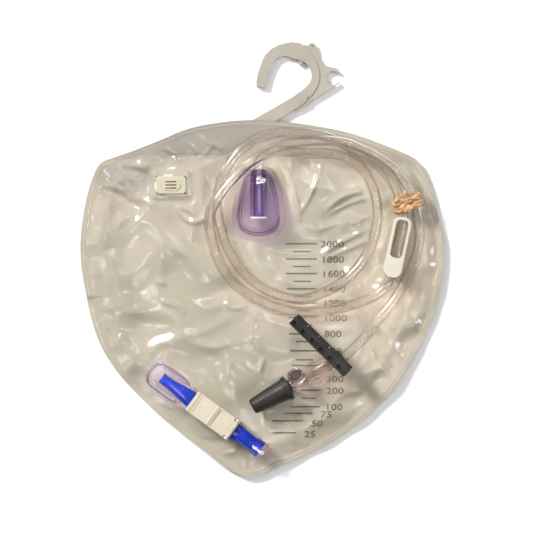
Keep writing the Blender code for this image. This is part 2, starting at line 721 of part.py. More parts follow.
def reflux_flap():
    """The disc that hangs over the barrel's inner end and closes when urine runs back."""
    obj = mesh_object(
        "reflux_flap",
        lambda bm: bmesh.ops.create_cone(
            bm, cap_ends=True, segments=24, radius1=FLAP_R * MM, radius2=FLAP_R * MM, depth=FLAP_T * MM,
            matrix=Matrix.Translation(mm(0, -FLAP_T / 2, -FLAP_R)) @ Matrix.Rotation(math.pi / 2, 4, "X"),
        ),
    )
    obj.location = mm(CHAMBER_AT[0], BARREL_END - GAP, BARREL_Z + FLAP_R)
    return finish(obj, "flap_white")


# The tube and what is on it


def collar_point(back):
    """A point on the tube's last straight stretch, a distance back from the connector."""
    x = CONNECTOR_AT[0] - back * math.cos(CONNECTOR_TURN)
    y = CONNECTOR_AT[1] - back * math.sin(CONNECTOR_TURN)
    return (x, y, CONNECTOR_Z)


def tube_centreline():
    """The tube's centre line from the barrel to the connector, in mm."""
    start = Vector((CHAMBER_AT[0], BARREL_MOUTH - SOCKET_DEPTH + GAP, BARREL_Z))
    mouth = Vector((CHAMBER_AT[0], BARREL_MOUTH + 1.0, BARREL_Z))
    free = [mouth] + [(x, y, TUBE_Z + lift) for x, y, lift in TUBE_ROUTE]
    free.append(collar_point(COLLAR_BACK + COLLAR_LENGTH / 2))
    return [start] + smooth_path(free, TUBE_STEP) + [Vector(collar_point(GAP))]


def drainage_tube():
    curve = bpy.data.curves.new("drainage_tube", "CURVE")
    curve.dimensions = "3D"
    curve.bevel_depth = TUBE_R * MM
    curve.bevel_resolution = 2
    curve.use_fill_caps = True
    line = tube_centreline()
    spline = curve.splines.new("POLY")
    spline.points.add(len(line) - 1)
    for point, p in zip(spline.points, line):
        point.co = (*(p * MM), 1.0)
    obj = bpy.data.objects.new("drainage_tube", curve)
    PARTS.objects.link(obj)
    return finish(obj, "clear_tube")


def rubber_band():
    """A flat band round two turns of the tube."""
    half = BAND_SPREAD / 2
    slack = TUBE_R + BAND_SLACK

    def stadium(radius, y, bm):
        ring = []
        for centre, start in ((half, -90), (-half, 90)):
            for step in range(9):
                angle = math.radians(start + 180 * step / 8)
                ring.append(bm.verts.new(mm(centre + radius * math.cos(angle), y, radius * math.sin(angle))))
        return ring

    def build(bm):
        rings = [
            stadium(radius, side * BAND_WIDTH / 2, bm)
            for radius, side in ((slack, -1), (slack + BAND_T, -1), (slack + BAND_T, 1), (slack, 1))
        ]
        for i in range(4):
            bridge(bm, rings[i], rings[(i + 1) % 4])

    obj = mesh_object("rubber_band", build)
    placed(obj, (*BAND_AT, REST_Z + BAND_T + slack), BAND_TURN)
    return finish(obj, "tan_rubber")


def pinch_clamp():
    """A long loop with a solid end, bored along its length for the tube."""
    inside = 2 * (TUBE_R + PINCH_SLACK)
    outside = inside + 2 * PINCH_WALL
    outer = round_rect(PINCH_LENGTH, outside, outside / 2 - 1.0, 7)
    opening = PINCH_LENGTH - PINCH_WALL - PINCH_BLOCK
    back = (PINCH_BLOCK - PINCH_WALL) / 2
    inner = [(x - back, y) for x, y in round_rect(opening, inside, inside / 2 - 1.0, 7)]
    obj = mesh_object("pinch_clamp", lambda bm: prism(bm, outer, REST_Z, REST_Z + PINCH_DEPTH))
    placed(obj, (*PINCH_AT, 0), PINCH_TURN)
    rounded(obj, 0.4, 1)
    loop = mesh_object("pinch_loop", lambda bm: prism(bm, inner, REST_Z - 1, REST_Z + PINCH_DEPTH + 1))
    boolean(obj, as_cutter(placed(loop, (*PINCH_AT, 0), PINCH_TURN)), "DIFFERENCE")
    reach = PINCH_LENGTH / 2 + 3
    way = rod("pinch_way", TUBE_R + PINCH_SLACK - 0.1, (-reach, 0, 0), (reach, 0, 0))
    boolean(obj, as_cutter(placed(way, (*PINCH_AT, TUBE_Z + PINCH_LIFT), PINCH_TURN)), "DIFFERENCE")
    return finish(obj, "pinch_white")


# The catheter connector, along its own X from the tube's end


def at_connector(obj, along=0.0):
    x = CONNECTOR_AT[0] + along * math.cos(CONNECTOR_TURN)
    y = CONNECTOR_AT[1] + along * math.sin(CONNECTOR_TURN)
    return placed(obj, (x, y, CONNECTOR_Z), CONNECTOR_TURN)


CAP_AT = BODY_LENGTH + GAP
CAP_BORE = CAP_R - CAP_WALL
CORE_R = 5.2
PORT_AT = 30.0
PORT_LEAN = math.radians(38.0)


def port_point(reach):
    """A point on the sampling port's axis, in the connector's own frame."""
    return (PORT_AT, -reach * math.sin(PORT_LEAN), reach * math.cos(PORT_LEAN))


def connector_body():
    """The flow core with its grip wings, the boss of the sampling port and the tapered nose in the cap."""
    seat_r = CAP_BORE - GAP
    nose = CAP_AT + CAP_LENGTH - CAP_WALL - 1.5
    neck = GRIP_START + GRIP_LENGTH + 3.0
    profile = [
        (0.0, 0.0), (0.0, 4.2), (1.0, 4.7), (GRIP_START, CORE_R), (neck - 2, CORE_R), (neck, NECK_R),
        (BODY_LENGTH - 1, NECK_R), (BODY_LENGTH, seat_r), (CAP_AT + CAP_SEAT, seat_r),
        (CAP_AT + CAP_SEAT, NECK_R), (nose - 1, 3.4), (nose, 3.0), (nose, 0.0),
    ]
    wings = round_rect(GRIP_LENGTH, GRIP_WIDTH, 4.0, 4)
    obj = mesh_object("connector_body", lambda bm: prism(bm, wings, -GRIP_T / 2, GRIP_T / 2))
    rounded(at_connector(obj, GRIP_START + GRIP_LENGTH / 2), 0.8, 1)
    for k in range(GRIP_GROOVES):
        for side in (-1, 1):
            at = (2 * GRIP_START + 0.5 + GROOVE_PITCH * k, 0, side * (GRIP_T / 2 + 0.4))
            groove = box(f"grip_groove_{k}_{side + 1}", (GROOVE_WIDTH, GRIP_WIDTH + 2, 2.0), at)
            boolean(obj, as_cutter(at_connector(groove)), "DIFFERENCE")
    core = applied(at_connector(turned("flow_core", profile, 20)))
    boss = at_connector(rod("port_boss", PORT_R, port_point(2.0), port_point(PORT_REACH), 20))
    for piece in (core, boss):
        boolean(obj, as_cutter(piece), "UNION")
    recess = rod("port_recess", SEPTUM_R + GAP, port_point(PORT_REACH - 1.8), port_point(PORT_REACH + 1), 20)
    boolean(obj, as_cutter(at_connector(recess)), "DIFFERENCE")
    way = as_cutter(at_connector(rod("body_bore", BODY_BORE_R, (-1, 0, 0), (nose + 1, 0, 0), 16)))
    boolean(obj, way, "DIFFERENCE")
    return finish(obj, "purple_clear", 30)


def sampling_septum():
    """The rubber disc that the needle goes through."""
    ends = (port_point(PORT_REACH - 1.8 + GAP), port_point(PORT_REACH + 0.4))
    obj = at_connector(rod("sampling_septum", SEPTUM_R, *ends, 20))
    return finish(rounded(obj, 0.5, 1), "grey_septum")


def connector_cap():
    """The tapered cap, pushed over the connector's nose until its flange meets the body."""
    end = CAP_LENGTH
    profile = [
        (end, 0.0), (end, CAP_TIP_R - 1.4), (end - 0.5, CAP_TIP_R - 0.5), (end - 1.5, CAP_TIP_R),
        (3.6, CAP_R), (3.4, CAP_FLANGE_R), (0.4, CAP_FLANGE_R), (0.0, CAP_FLANGE_R - 0.4),
        (0.0, CAP_BORE), (CAP_SEAT + 1, CAP_BORE), (end - CAP_WALL, CAP_TIP_R - CAP_WALL),
        (end - CAP_WALL, 0.0),
    ]
    obj = applied(at_connector(turned("connector_cap", profile, 24), CAP_AT))
    return finish(obj, "black_plastic", 30)


# The sheet clip, along its own X, its origin on the jaw's pin

COLLAR_R = TUBE_R + 2.6
CLIP_SEAT = 6.0
CLIP_PIN_Y = CLIP_WIDTH / 2 - 2.0
CLIP_REACH = (-46.4, -46.4 + CLIP_LENGTH)
CLIP_LINE = -2.75
KNUCKLE_R = 2.0
LEAF_BACK = 0.4  # how far the leaves stop short of the pin's axis


def at_clip(obj):
    x, y, _ = collar_point(COLLAR_BACK)
    side = CLIP_LINE + CLIP_PIN_Y
    x -= side * math.sin(CLIP_TURN)
    y += side * math.cos(CLIP_TURN)
    z = CONNECTOR_Z + CLIP_SEAT + CLIP_BASE_T + GAP / 2
    return placed(obj, (x, y, z), CLIP_TURN, CLIP_TILT)


def knuckle_spans(first):
    """Every other fifth of the clip's length, a little short, for one leaf's knuckles."""
    start, end = CLIP_REACH
    fifth = (end - start) / 5
    return [(start + fifth * k + GAP, start + fifth * (k + 1) - GAP) for k in range(first, 5, 2)]


def clip_leaf(name, low, high, first, carrier=None):
    """One leaf of the clip with its knuckles, cut back round the other leaf's."""
    start, end = CLIP_REACH
    width = CLIP_WIDTH / 2 + CLIP_PIN_Y
    middle = ((start + end) / 2, -(width + LEAF_BACK) / 2, (low + high) / 2)
    obj = at_clip(rounded(box(name, (end - start, width - LEAF_BACK, high - low), middle), 0.4, 1))
    if carrier:
        boolean(obj, carrier, "UNION")
    for k, (a, b) in enumerate(knuckle_spans(1 - first)):
        gap = rod(f"{name}_room_{k}", KNUCKLE_R + GAP, (a - 2 * GAP, 0, 0), (b + 2 * GAP, 0, 0), 20)
        boolean(obj, as_cutter(at_clip(gap)), "DIFFERENCE")
    for k, (a, b) in enumerate(knuckle_spans(first)):
        knuckle = rod(f"{name}_knuckle_{k}", KNUCKLE_R, (a, 0, 0), (b, 0, 0), 20)
        boolean(obj, as_cutter(at_clip(knuckle)), "UNION")
    bore = rod(f"{name}_bore", JAW_PIN_R + GAP, (start - 1, 0, 0), (end + 1, 0, 0), 16)
    boolean(obj, as_cutter(at_clip(bore)), "DIFFERENCE")
    return obj


def sheet_clip_base():
    """The lower leaf, on a collar that the tube runs through."""
    ends = (COLLAR_BACK - COLLAR_LENGTH / 2, COLLAR_BACK + COLLAR_LENGTH / 2)
    collar = as_cutter(rod("clip_collar", COLLAR_R, collar_point(ends[0]), collar_point(ends[1]), 24))
    obj = clip_leaf("sheet_clip_base", -CLIP_BASE_T - GAP / 2, -GAP / 2, 0, collar)
    way = rod("clip_way", TUBE_R + 0.4, collar_point(ends[0] - 1), collar_point(ends[1] + 1), 24)
    boolean(obj, as_cutter(way), "DIFFERENCE")
    return finish(obj, "black_plastic", 30)


def sheet_clip_jaw():
    """The upper leaf, with a row of moulded pockets."""
    obj = clip_leaf("sheet_clip_jaw", GAP / 2, GAP / 2 + CLIP_JAW_T, 1)
    start, end = CLIP_REACH
    pitch = (end - start - CLIP_WALL) / CLIP_POCKETS
    width = CLIP_WIDTH / 2 + CLIP_PIN_Y - KNUCKLE_R - GAP - 2 * CLIP_WALL
    for k in range(CLIP_POCKETS):
        x = start + CLIP_WALL + pitch * k + (pitch - CLIP_WALL) / 2
        y = -KNUCKLE_R - GAP - CLIP_WALL - width / 2
        size = (pitch - CLIP_WALL, width, 2 * (CLIP_JAW_T - CLIP_FLOOR))
        pocket = box(f"clip_pocket_{k}", size, (x, y, GAP / 2 + CLIP_JAW_T))
        boolean(obj, as_cutter(at_clip(pocket)), "DIFFERENCE")
    return finish(obj, "black_plastic", 30)


def jaw_pin():
    start, end = CLIP_REACH
    return finish(at_clip(rod("jaw_pin", JAW_PIN_R, (start + GAP, 0, 0), (end - GAP, 0, 0), 16)), "pin_steel")


# The outlet, along its own X from the holder to the port, with Z = 0 on the tube's axis

FLOOR = REST_Z - DRAIN_Z
HOLDER_SIZE = (34.0, 20.0)
HOLDER_AT = -41.5
HOLDER_FLANGE = 2.4
HOLDER_RISE = DRAIN_TIP_R + 0.1 + GAP + 1.0 - FLOOR
PIN_AT = (CLAMP_LENGTH / 2 - 2.2, PINCHED_HALF[1] + GAP + LEVER_T / 2 + 0.1)
LATCH_WALL = 2.7
LUG_R = 2.0
PORT_MOUTH = 37.0
PORT_SEAT = PORT_MOUTH + 7.0
PORT_FOOT_R = 8.8


def at_drain(obj):
    return placed(obj, (*DRAIN_AT, DRAIN_Z), DRAIN_TURN)


def drain_tube():
    """The blue tube, pressed flat in its clamp and round at its ends, with its true wall."""
    flat_w, flat_h = PINCHED_HALF
    half = CLAMP_LENGTH / 2
    stations = [
        (-47.7, DRAIN_TIP_R, DRAIN_TIP_R), (-40.0, DRAIN_TIP_R + 0.1, DRAIN_TIP_R + 0.1), (-31.0, 5.0, 3.5),
        (-half - 3.0, flat_w - 0.2, flat_h + 0.3), (-half, flat_w, flat_h), (half, flat_w, flat_h),
        (half + 3.0, flat_w - 0.2, flat_h + 0.5), (half + 9.0, DRAIN_R + 0.2, DRAIN_R - 1.0),
        (half + 14.0, DRAIN_R, DRAIN_R), (PORT_SEAT - 0.5, DRAIN_R, DRAIN_R),
    ]
    sides = 16

    def section(bm, x, width, height):
        turns = (2 * math.pi * k / sides for k in range(sides))
        return [bm.verts.new(mm(x, width * math.cos(a), height * math.sin(a))) for a in turns]

    def build(bm):
        outer = [section(bm, *station) for station in stations]
        inner = [section(bm, x, w - DRAIN_WALL, max(h - DRAIN_WALL, 0.3)) for x, w, h in stations]
        for walls in (outer, inner):
            for ring, other in zip(walls, walls[1:]):
                bridge(bm, ring, other)
        bridge(bm, outer[0], inner[0])
        bridge(bm, outer[-1], inner[-1])

    return finish(at_drain(mesh_object("drain_tube", build)), "blue_tube")


def drain_clamp_body():
    """The lower half of the clamp: a trough, the latch bridge at one end and two lugs at the other."""
    half = CLAMP_LENGTH / 2
    top = PINCHED_HALF[1] + GAP + LEVER_T
    obj = box("drain_clamp_body", (CLAMP_LENGTH, CLAMP_WIDTH, top - FLOOR), (0, 0, (top + FLOOR) / 2))
    rounded(at_drain(obj), 0.5, 1)
    channel = 2 * (PINCHED_HALF[0] + GAP)
    seat = PINCHED_HALF[1]
    room = CLAMP_LENGTH + 5 - LATCH_WALL
    rooms = (
        ("room_lever", (room, 2 * CLAMP_WIDTH, 20), (-half + LATCH_WALL + room / 2, 0, seat + 10)),
        ("room_tube", (CLAMP_LENGTH + 4, channel, 2 * (seat + GAP)), (0, 0, 0)),
    )
    for name, size, at in rooms:
        boolean(obj, as_cutter(at_drain(box(name, size, at))), "DIFFERENCE")
    for k, side in enumerate((-1, 1)):
        y = side * (CLAMP_WIDTH - CLAMP_WALL) / 2
        rise_z = PIN_AT[1] - seat + 0.6
        lug = box(f"lug_{k}", (2 * LUG_R, CLAMP_WALL, rise_z), (PIN_AT[0], y, PIN_AT[1] - rise_z / 2))
        ends = [(PIN_AT[0], y + out * CLAMP_WALL / 2, PIN_AT[1]) for out in (-1, 1)]
        head = rod(f"lug_head_{k}", LUG_R, *ends, 20)
        for piece in (lug, head):
            boolean(obj, as_cutter(at_drain(piece)), "UNION")
        size = (half - 3.0, CLAMP_WIDTH - 2 * CLAMP_WALL - 1, 2 * (-FLOOR - seat - GAP - 1.4))
        pocket = box(f"under_pocket_{k}", size, (side * half / 2, 0, FLOOR))
        boolean(obj, as_cutter(at_drain(pocket)), "DIFFERENCE")
    bore = rod("ear_bore", LEVER_PIN_R + GAP, (PIN_AT[0], -20, PIN_AT[1]), (PIN_AT[0], 20, PIN_AT[1]), 16)
    boolean(obj, as_cutter(at_drain(bore)), "DIFFERENCE")
    return finish(obj, "cream_plastic", 30)


def at_lever(obj):
    """Places a piece of the lever with its origin on the lever's pin."""
    turn = Matrix.Rotation(DRAIN_TURN, 4, "Z")
    pin = turn @ mm(PIN_AT[0], 0, PIN_AT[1])
    obj.matrix_world = Matrix.Translation(mm(*DRAIN_AT, DRAIN_Z) + pin) @ turn
    return obj


def drain_clamp_lever():
    """The upper half: two pads, a ridge between them and a knuckle between the ears."""
    low = PINCHED_HALF[1] + GAP - PIN_AT[1]
    high = low + LEVER_T
    start = -CLAMP_LENGTH / 2 + LATCH_WALL + GAP - PIN_AT[0]
    end = -LUG_R - GAP
    middle = -PIN_AT[0]
    size = (end - start, CLAMP_WIDTH, LEVER_T)
    obj = box("drain_clamp_lever", size, ((start + end) / 2, 0, (low + high) / 2))
    rounded(at_lever(obj), 0.5, 1)
    ridge = box("lever_ridge", (2.2, CLAMP_WIDTH - 0.6, 2.0), (middle - 0.6, 0, high - 0.4))
    boolean(obj, as_cutter(at_lever(rounded(ridge, 0.4, 1))), "UNION")
    tongue_size = (1.5 - end, CLAMP_WIDTH - 2 * CLAMP_WALL - 4 * GAP, LEVER_T - 0.3)
    tongue = box("lever_tongue", tongue_size, ((end - 1.5) / 2, 0, 0))
    boolean(obj, as_cutter(at_lever(tongue)), "UNION")
    side = CLAMP_WIDTH / 2 - CLAMP_WALL - 2 * GAP
    knuckle = rod("lever_knuckle", LEVER_T / 2 - 0.1, (0, -side, 0), (0, side, 0), 20)
    boolean(obj, as_cutter(at_lever(knuckle)), "UNION")
    pads = (
        ("lever_pad_right", middle + 1.6, end - 1.6, 0.9),
        ("lever_pad_left", start + 1.6, middle - 2.8, 0.4),
    )
    for name, a, b, depth in pads:
        pad = box(name, (b - a, CLAMP_WIDTH - 3.2, 2 * depth), ((a + b) / 2, 0, high))
        boolean(obj, as_cutter(at_lever(pad)), "DIFFERENCE")
    bore = rod("lever_bore", LEVER_PIN_R + GAP, (0, -20, 0), (0, 20, 0), 16)
    boolean(obj, as_cutter(at_lever(bore)), "DIFFERENCE")
    return finish(obj, "cream_plastic", 30)


def lever_pin():
    side = CLAMP_WIDTH / 2 - GAP
    return finish(at_lever(rod("lever_pin", LEVER_PIN_R, (0, -side, 0), (0, side, 0), 16)), "pin_steel")


def spout_holder():
    """The formed pocket that the free end of the outlet tube is stowed in, open towards the clamp."""
    length, width = HOLDER_SIZE
    points = round_rect(length, width, 7.0, 2)
    shape = ((0.985, 0.10), (0.94, 0.50), (0.87, 0.80), (0.74, 0.95), (0.5, 1.0))
    obj = formed_shell("spout_holder", points, HOLDER_FLANGE, shape, HOLDER_RISE)
    turn = Matrix.Rotation(DRAIN_TURN, 4, "Z")
    obj.matrix_world = Matrix.Translation(mm(*DRAIN_AT, DRAIN_Z) + turn @ mm(HOLDER_AT, 0, FLOOR)) @ turn
    applied(obj)
    mouth = box("holder_mouth", (14.0, 14.6, 9.4), (HOLDER_AT + length / 2, 0, 0.4))
    boolean(obj, as_cutter(at_drain(mouth)), "DIFFERENCE")
    return finish(obj, "holder_clear")


def outlet_port():
    """The cup and spigot that the outlet tube is pushed on, on its foot on the film."""
    cup = DRAIN_R + GAP
    spigot = DRAIN_R - DRAIN_WALL - GAP
    back = PORT_SEAT + 3.6
    bore = spigot - 1.4
    profile = [
        (back, 0.0), (back, cup), (back - 0.8, cup + PORT_WALL), (PORT_MOUTH, cup + PORT_WALL),
        (PORT_MOUTH, cup), (PORT_SEAT, cup), (PORT_SEAT, spigot), (PORT_MOUTH + 0.6, spigot),
        (PORT_MOUTH, spigot - 0.5), (PORT_MOUTH, bore), (back - 1.6, bore), (back - 1.6, 0.0),
    ]
    obj = applied(at_drain(turned("outlet_port", profile, 20)))
    ends = [(PORT_MOUTH + 5.0, 0, z) for z in (FLOOR, FLOOR + 1.0)]
    boolean(obj, as_cutter(at_drain(rod("port_foot", PORT_FOOT_R, *ends, 24))), "UNION")
    return finish(obj, "holder_clear", 30)


for make in (
    rear_film, front_film, hook, hanger_plate, hanger_rivet, vent_housing, vent_filter, chamber_base,
    chamber_dome, inlet_nozzle, reflux_flap, drainage_tube, rubber_band, pinch_clamp, connector_body,
    sampling_septum, connector_cap, sheet_clip_base, sheet_clip_jaw, jaw_pin, drain_tube, drain_clamp_body,
    drain_clamp_lever, lever_pin, spout_holder, outlet_port,
):
    make()
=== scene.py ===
"""The looks of the urine drainage bag: its wrinkled films, print, clear tube, rubber band and finishes.

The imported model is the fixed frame. Metres, +Z out of the printed face, +Y to the hook. Sizes that are
named in millimetres are turned into metres by MM where they are used.
"""

import math

import bmesh
import bpy
import numpy as np
from mathutils import Matrix, Vector, kdtree, noise
from mathutils.bvhtree import BVHTree
from mathutils.geometry import delaunay_2d_cdt


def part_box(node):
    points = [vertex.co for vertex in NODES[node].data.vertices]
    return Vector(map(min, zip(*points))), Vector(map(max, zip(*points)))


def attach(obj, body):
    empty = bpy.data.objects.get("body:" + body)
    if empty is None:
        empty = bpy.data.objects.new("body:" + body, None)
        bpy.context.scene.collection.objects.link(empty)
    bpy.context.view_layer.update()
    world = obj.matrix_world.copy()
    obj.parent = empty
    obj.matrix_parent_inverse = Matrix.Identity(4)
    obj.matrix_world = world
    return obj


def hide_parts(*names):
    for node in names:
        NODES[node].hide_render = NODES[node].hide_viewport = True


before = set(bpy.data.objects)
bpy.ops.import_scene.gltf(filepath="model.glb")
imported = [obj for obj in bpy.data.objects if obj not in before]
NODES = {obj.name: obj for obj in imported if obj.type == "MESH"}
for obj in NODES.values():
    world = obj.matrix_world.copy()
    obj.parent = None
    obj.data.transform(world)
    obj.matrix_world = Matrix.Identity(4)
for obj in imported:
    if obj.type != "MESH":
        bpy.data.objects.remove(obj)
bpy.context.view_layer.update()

MM = 0.001

# The photograph's frame: one pixel in mm, the pixel at the model's origin, and its size
PIXEL = 0.75
ORIGIN_PX = (262.0, 257.0)
IMAGE_PX = 533


def px(x, y):
    """The place in mm on the bag of a pixel of the photograph."""
    return ((x - ORIGIN_PX[0]) * PIXEL, (ORIGIN_PX[1] - y) * PIXEL)


def link(obj):
    bpy.context.scene.collection.objects.link(obj)
    return obj


# Camera

CAMERA_HEIGHT = 1.9
FACE_HEIGHT = 0.010
SENSOR = 36.0


def make_camera():
    data = bpy.data.cameras.new("camera")
    data.sensor_width = SENSOR
    data.lens = SENSOR * (CAMERA_HEIGHT - FACE_HEIGHT) / (IMAGE_PX * PIXEL * MM)
    camera = link(bpy.data.objects.new("camera", data))
    x, y = px(IMAGE_PX / 2, IMAGE_PX / 2)
    camera.location = (x * MM, y * MM, CAMERA_HEIGHT)
    bpy.context.scene.camera = camera


make_camera()

# Heights in mm read from the model: the top of the front film, and where what lies on it begins
FILM_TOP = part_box("front_film")[1][2] / MM
REST_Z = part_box("vent_housing")[0][2] / MM
# Thicknesses and radii in mm, and the height of the tube's centre where it lies on the film
FILM_T = 0.4
FOOT_T = 1.6  # the welded foot of a formed shell, with its plate
TUBE_R = 4.0
TUBE_WALL = 1.25
TUBE_Z = REST_Z + TUBE_R

# The tube's route, the same as the model's: x, y and the lift above lying on the film, mm
TUBE_ROUTE = [
    (-1.6, 71.1, 3.2), (1.2, 75.3, 2.0), (5.4, 78.1, 0.8), (10.4, 79.1, 0.0), (20.0, 78.7, 0.0),
    (30.0, 77.9, 0.0), (46.0, 77.6, 0.0), (56.0, 76.4, 0.0), (64.9, 73.1, 0.0), (75.8, 65.2, 0.0),
    (83.6, 51.0, 0.0), (86.4, 37.0, 0.0), (85.8, 23.5, 0.0), (81.0, 7.1, 0.0), (72.8, -6.8, 0.0),
    (61.0, -18.0, 0.0), (45.4, -27.0, 0.0), (28.9, -31.8, 0.0), (12.0, -28.5, 0.0), (-2.2, -21.4, 0.0),
    (-14.0, -11.5, 0.0), (-21.4, -0.8, 0.0), (-27.0, 9.8, 0.0), (-30.3, 20.6, 0.0), (-32.6, 30.8, 0.0),
    (-33.6, 40.0, 0.0), (-32.6, 49.0, 0.0), (-29.6, 59.5, 0.0), (-23.8, 70.6, 0.0), (-16.2, 79.6, 0.0),
    (-6.6, 86.8, 0.0), (3.2, 91.0, 0.0), (14.5, 93.4, 0.0), (28.5, 93.4, 0.0), (42.0, 92.2, 0.0),
    (51.0, 89.6, 0.0), (58.5, 86.3, 0.0), (66.5, 82.0, 0.0), (74.2, 77.4, 0.0), (84.0, 71.0, 0.0),
    (93.4, 61.9, 0.3), (100.6, 51.0, 1.2), (104.7, 39.6, 1.9), (106.0, 31.0, 1.9), (105.0, 24.8, 1.9),
    (102.9, 14.8, 1.9), (100.7, 4.8, 1.9), (98.5, -5.2, 1.9), (96.6, -14.0, 1.9), (92.4, -22.6, 1.0),
    (84.8, -29.0, 0.0), (75.0, -33.4, 0.0), (63.5, -37.0, 0.0), (51.5, -39.6, 0.0), (39.8, -41.2, 0.0),
    (27.8, -41.5, 0.0), (14.2, -38.9, 0.0), (3.0, -34.6, 0.0), (-7.5, -29.4, 0.0), (-20.4, -20.0, 0.0),
    (-28.6, -9.6, 0.0), (-34.6, 3.0, 0.0), (-38.4, 18.0, 1.3), (-39.2, 26.0, 4.2), (-38.0, 34.0, 7.8),
    (-33.6, 42.5, 8.9), (-27.8, 50.8, 8.2), (-18.2, 61.8, 8.8), (-9.6, 69.6, 12.0), (-0.8, 75.4, 12.3),
    (5.5, 79.2, 10.4), (12.0, 82.2, 7.9), (18.0, 84.6, 6.4), (30.0, 86.2, 5.2), (38.0, 86.9, 6.8),
    (46.0, 87.0, 8.3), (55.5, 86.6, 8.8), (65.0, 84.7, 8.8), (74.0, 80.8, 8.6), (86.0, 75.0, 7.8),
    (98.4, 66.2, 6.8), (107.6, 54.4, 5.0), (112.0, 46.2, 2.4), (114.6, 37.4, 1.9), (117.8, 21.0, 0.6),
    (116.9, 6.0, 0.2), (111.8, -8.8, 0.0), (105.7, -21.3, 0.0), (97.4, -34.5, 0.0), (85.0, -49.3, 1.0),
    (72.6, -64.2, 3.8),
]
# The tube's first end in mm, inside the chamber's barrel and at its mouth, and the connector's place
SOCKET_END = (-2.6, 56.4, 15.8)
SOCKET_MOUTH = (-2.6, 66.1, 15.8)
CONNECTOR_AT = (54.0, -78.8, 17.5)
CONNECTOR_TURN = math.radians(208.5)
# How far behind the connector's place the tube ends, and where its last straight run begins, mm
END_GAP = 0.3
LAST_STRAIGHT = 7.7
CURVE_PARTS = 12  # the parts that smooth_path makes of the curve between two given points


def smooth_path(points, count, closed=False):
    """Points spread evenly along a Catmull-Rom curve through the given points."""
    knots = [Vector(p) for p in points]
    size = len(knots)
    dense = []
    for i in range(size if closed else size - 1):
        if closed:
            a, b, c, d = (knots[(i + k) % size] for k in (-1, 0, 1, 2))
        else:
            b, c = knots[i], knots[i + 1]
            a = knots[i - 1] if i else b + (b - c)
            d = knots[i + 2] if i + 2 < size else c + (c - b)
        for step in range(CURVE_PARTS):
            t = step / CURVE_PARTS
            square = (2 * a - 5 * b + 4 * c - d) * t**2
            cube = (3 * b - a - 3 * c + d) * t**3
            dense.append(0.5 * (2 * b + (c - a) * t + square + cube))
    dense.append(dense[0] if closed else knots[-1])
    reach = [0.0]
    for p, q in zip(dense, dense[1:]):
        reach.append(reach[-1] + (q - p).length)
    found, at = [], 0
    for k in range(count):
        want = reach[-1] * k / (count if closed else count - 1)
        while at < len(reach) - 2 and reach[at + 1] < want:
            at += 1
        share = (want - reach[at]) / max(reach[at + 1] - reach[at], 1e-9)
        found.append(dense[at].lerp(dense[at + 1], min(share, 1.0)))
    return found


def behind_connector(back):
    x = CONNECTOR_AT[0] - back * math.cos(CONNECTOR_TURN)
    y = CONNECTOR_AT[1] - back * math.sin(CONNECTOR_TURN)
    return Vector((x, y, CONNECTOR_AT[2]))


def tube_path(count):
    """The tube's centre line in mm, from the barrel to the connector."""
    free = [Vector(SOCKET_MOUTH)] + [Vector((x, y, TUBE_Z + lift)) for x, y, lift in TUBE_ROUTE]
    free.append(behind_connector(LAST_STRAIGHT))
    ends = (Vector(SOCKET_END), behind_connector(END_GAP))
    return [ends[0]] + smooth_path(free, count) + [ends[1]]


def length_of(line):
    return sum((q - p).length for p, q in zip(line, line[1:]))


# Mesh helpers


def mesh_piece(name, build, smooth_deg=60.0):
    """A shown piece whose mesh build(bm) makes in metres."""
    bm = bmesh.new()
    build(bm)
    bmesh.ops.recalc_face_normals(bm, faces=bm.faces)
    mesh = bpy.data.meshes.new(name)
    bm.to_mesh(mesh)
    bm.free()
    mesh.shade_smooth()
    mesh.set_sharp_from_angle(angle=math.radians(smooth_deg))
    return link(bpy.data.objects.new(name, mesh))


def bridge(bm, ring, other):
    size = len(ring)
    for i in range(size):
        bm.faces.new((ring[i], ring[(i + 1) % size], other[(i + 1) % size], other[i]))


def path_frames(line):
    """A side and an upright direction at each point of a line, turned as little as possible along it."""
    frames = []
    side = Vector((0, 0, 1)).cross(line[1] - line[0]).normalized()
    for i, p in enumerate(line):
        along = (line[min(i + 1, len(line) - 1)] - line[max(i - 1, 0)]).normalized()
        side = (side - along * side.dot(along)).normalized()
        frames.append((side, along.cross(side)))
    return frames


def round_ring(bm, at, side, up, radius, sides):
    ring = []
    for k in range(sides):
        a = 2 * math.pi * k / sides
        ring.append(bm.verts.new((at + side * (radius * math.cos(a)) + up * (radius * math.sin(a))) * MM))
    return ring


def rise(value, low, high):
    """0 below low, 1 above high and a smooth step between."""
    t = min(max((value - low) / (high - low), 0.0), 1.0)
    return t * t * (3 - 2 * t)


# Materials

EVEN = (1.0, 1.0, 1.0)  # a texture that isn't stretched
NOISE_SPAN = (0.3, 0.7)  # where nearly all of a noise texture's values lie
SLOPE_SPAN = (0.25, 0.97)  # the upward parts of a normal between which a tint passes from steep to flat
FOOT_BLEND = 1.2  # the height in mm over which the foot's tint passes into the wall's


def put(target, **values):
    """Sets inputs of a node, given by name with _ for a space."""
    for key, value in values.items():
        target.inputs[key.replace("_", " ")].default_value = value


def shader_of(material):
    return material.node_tree.nodes["Principled BSDF"]


def principled(name, colour, roughness, **inputs):
    """A material with a Principled shader, and further inputs of it as for put."""
    made = bpy.data.materials.new(name)
    made.use_nodes = True
    put(shader_of(made), Base_Color=(*colour, 1.0), Roughness=roughness, **inputs)
    return made


def node(material, kind, **values):
    found = material.node_tree.nodes.new(kind)
    for key, value in values.items():
        setattr(found, key, value)
    return found


def wire(material, source, target):
    material.node_tree.links.new(source, target)


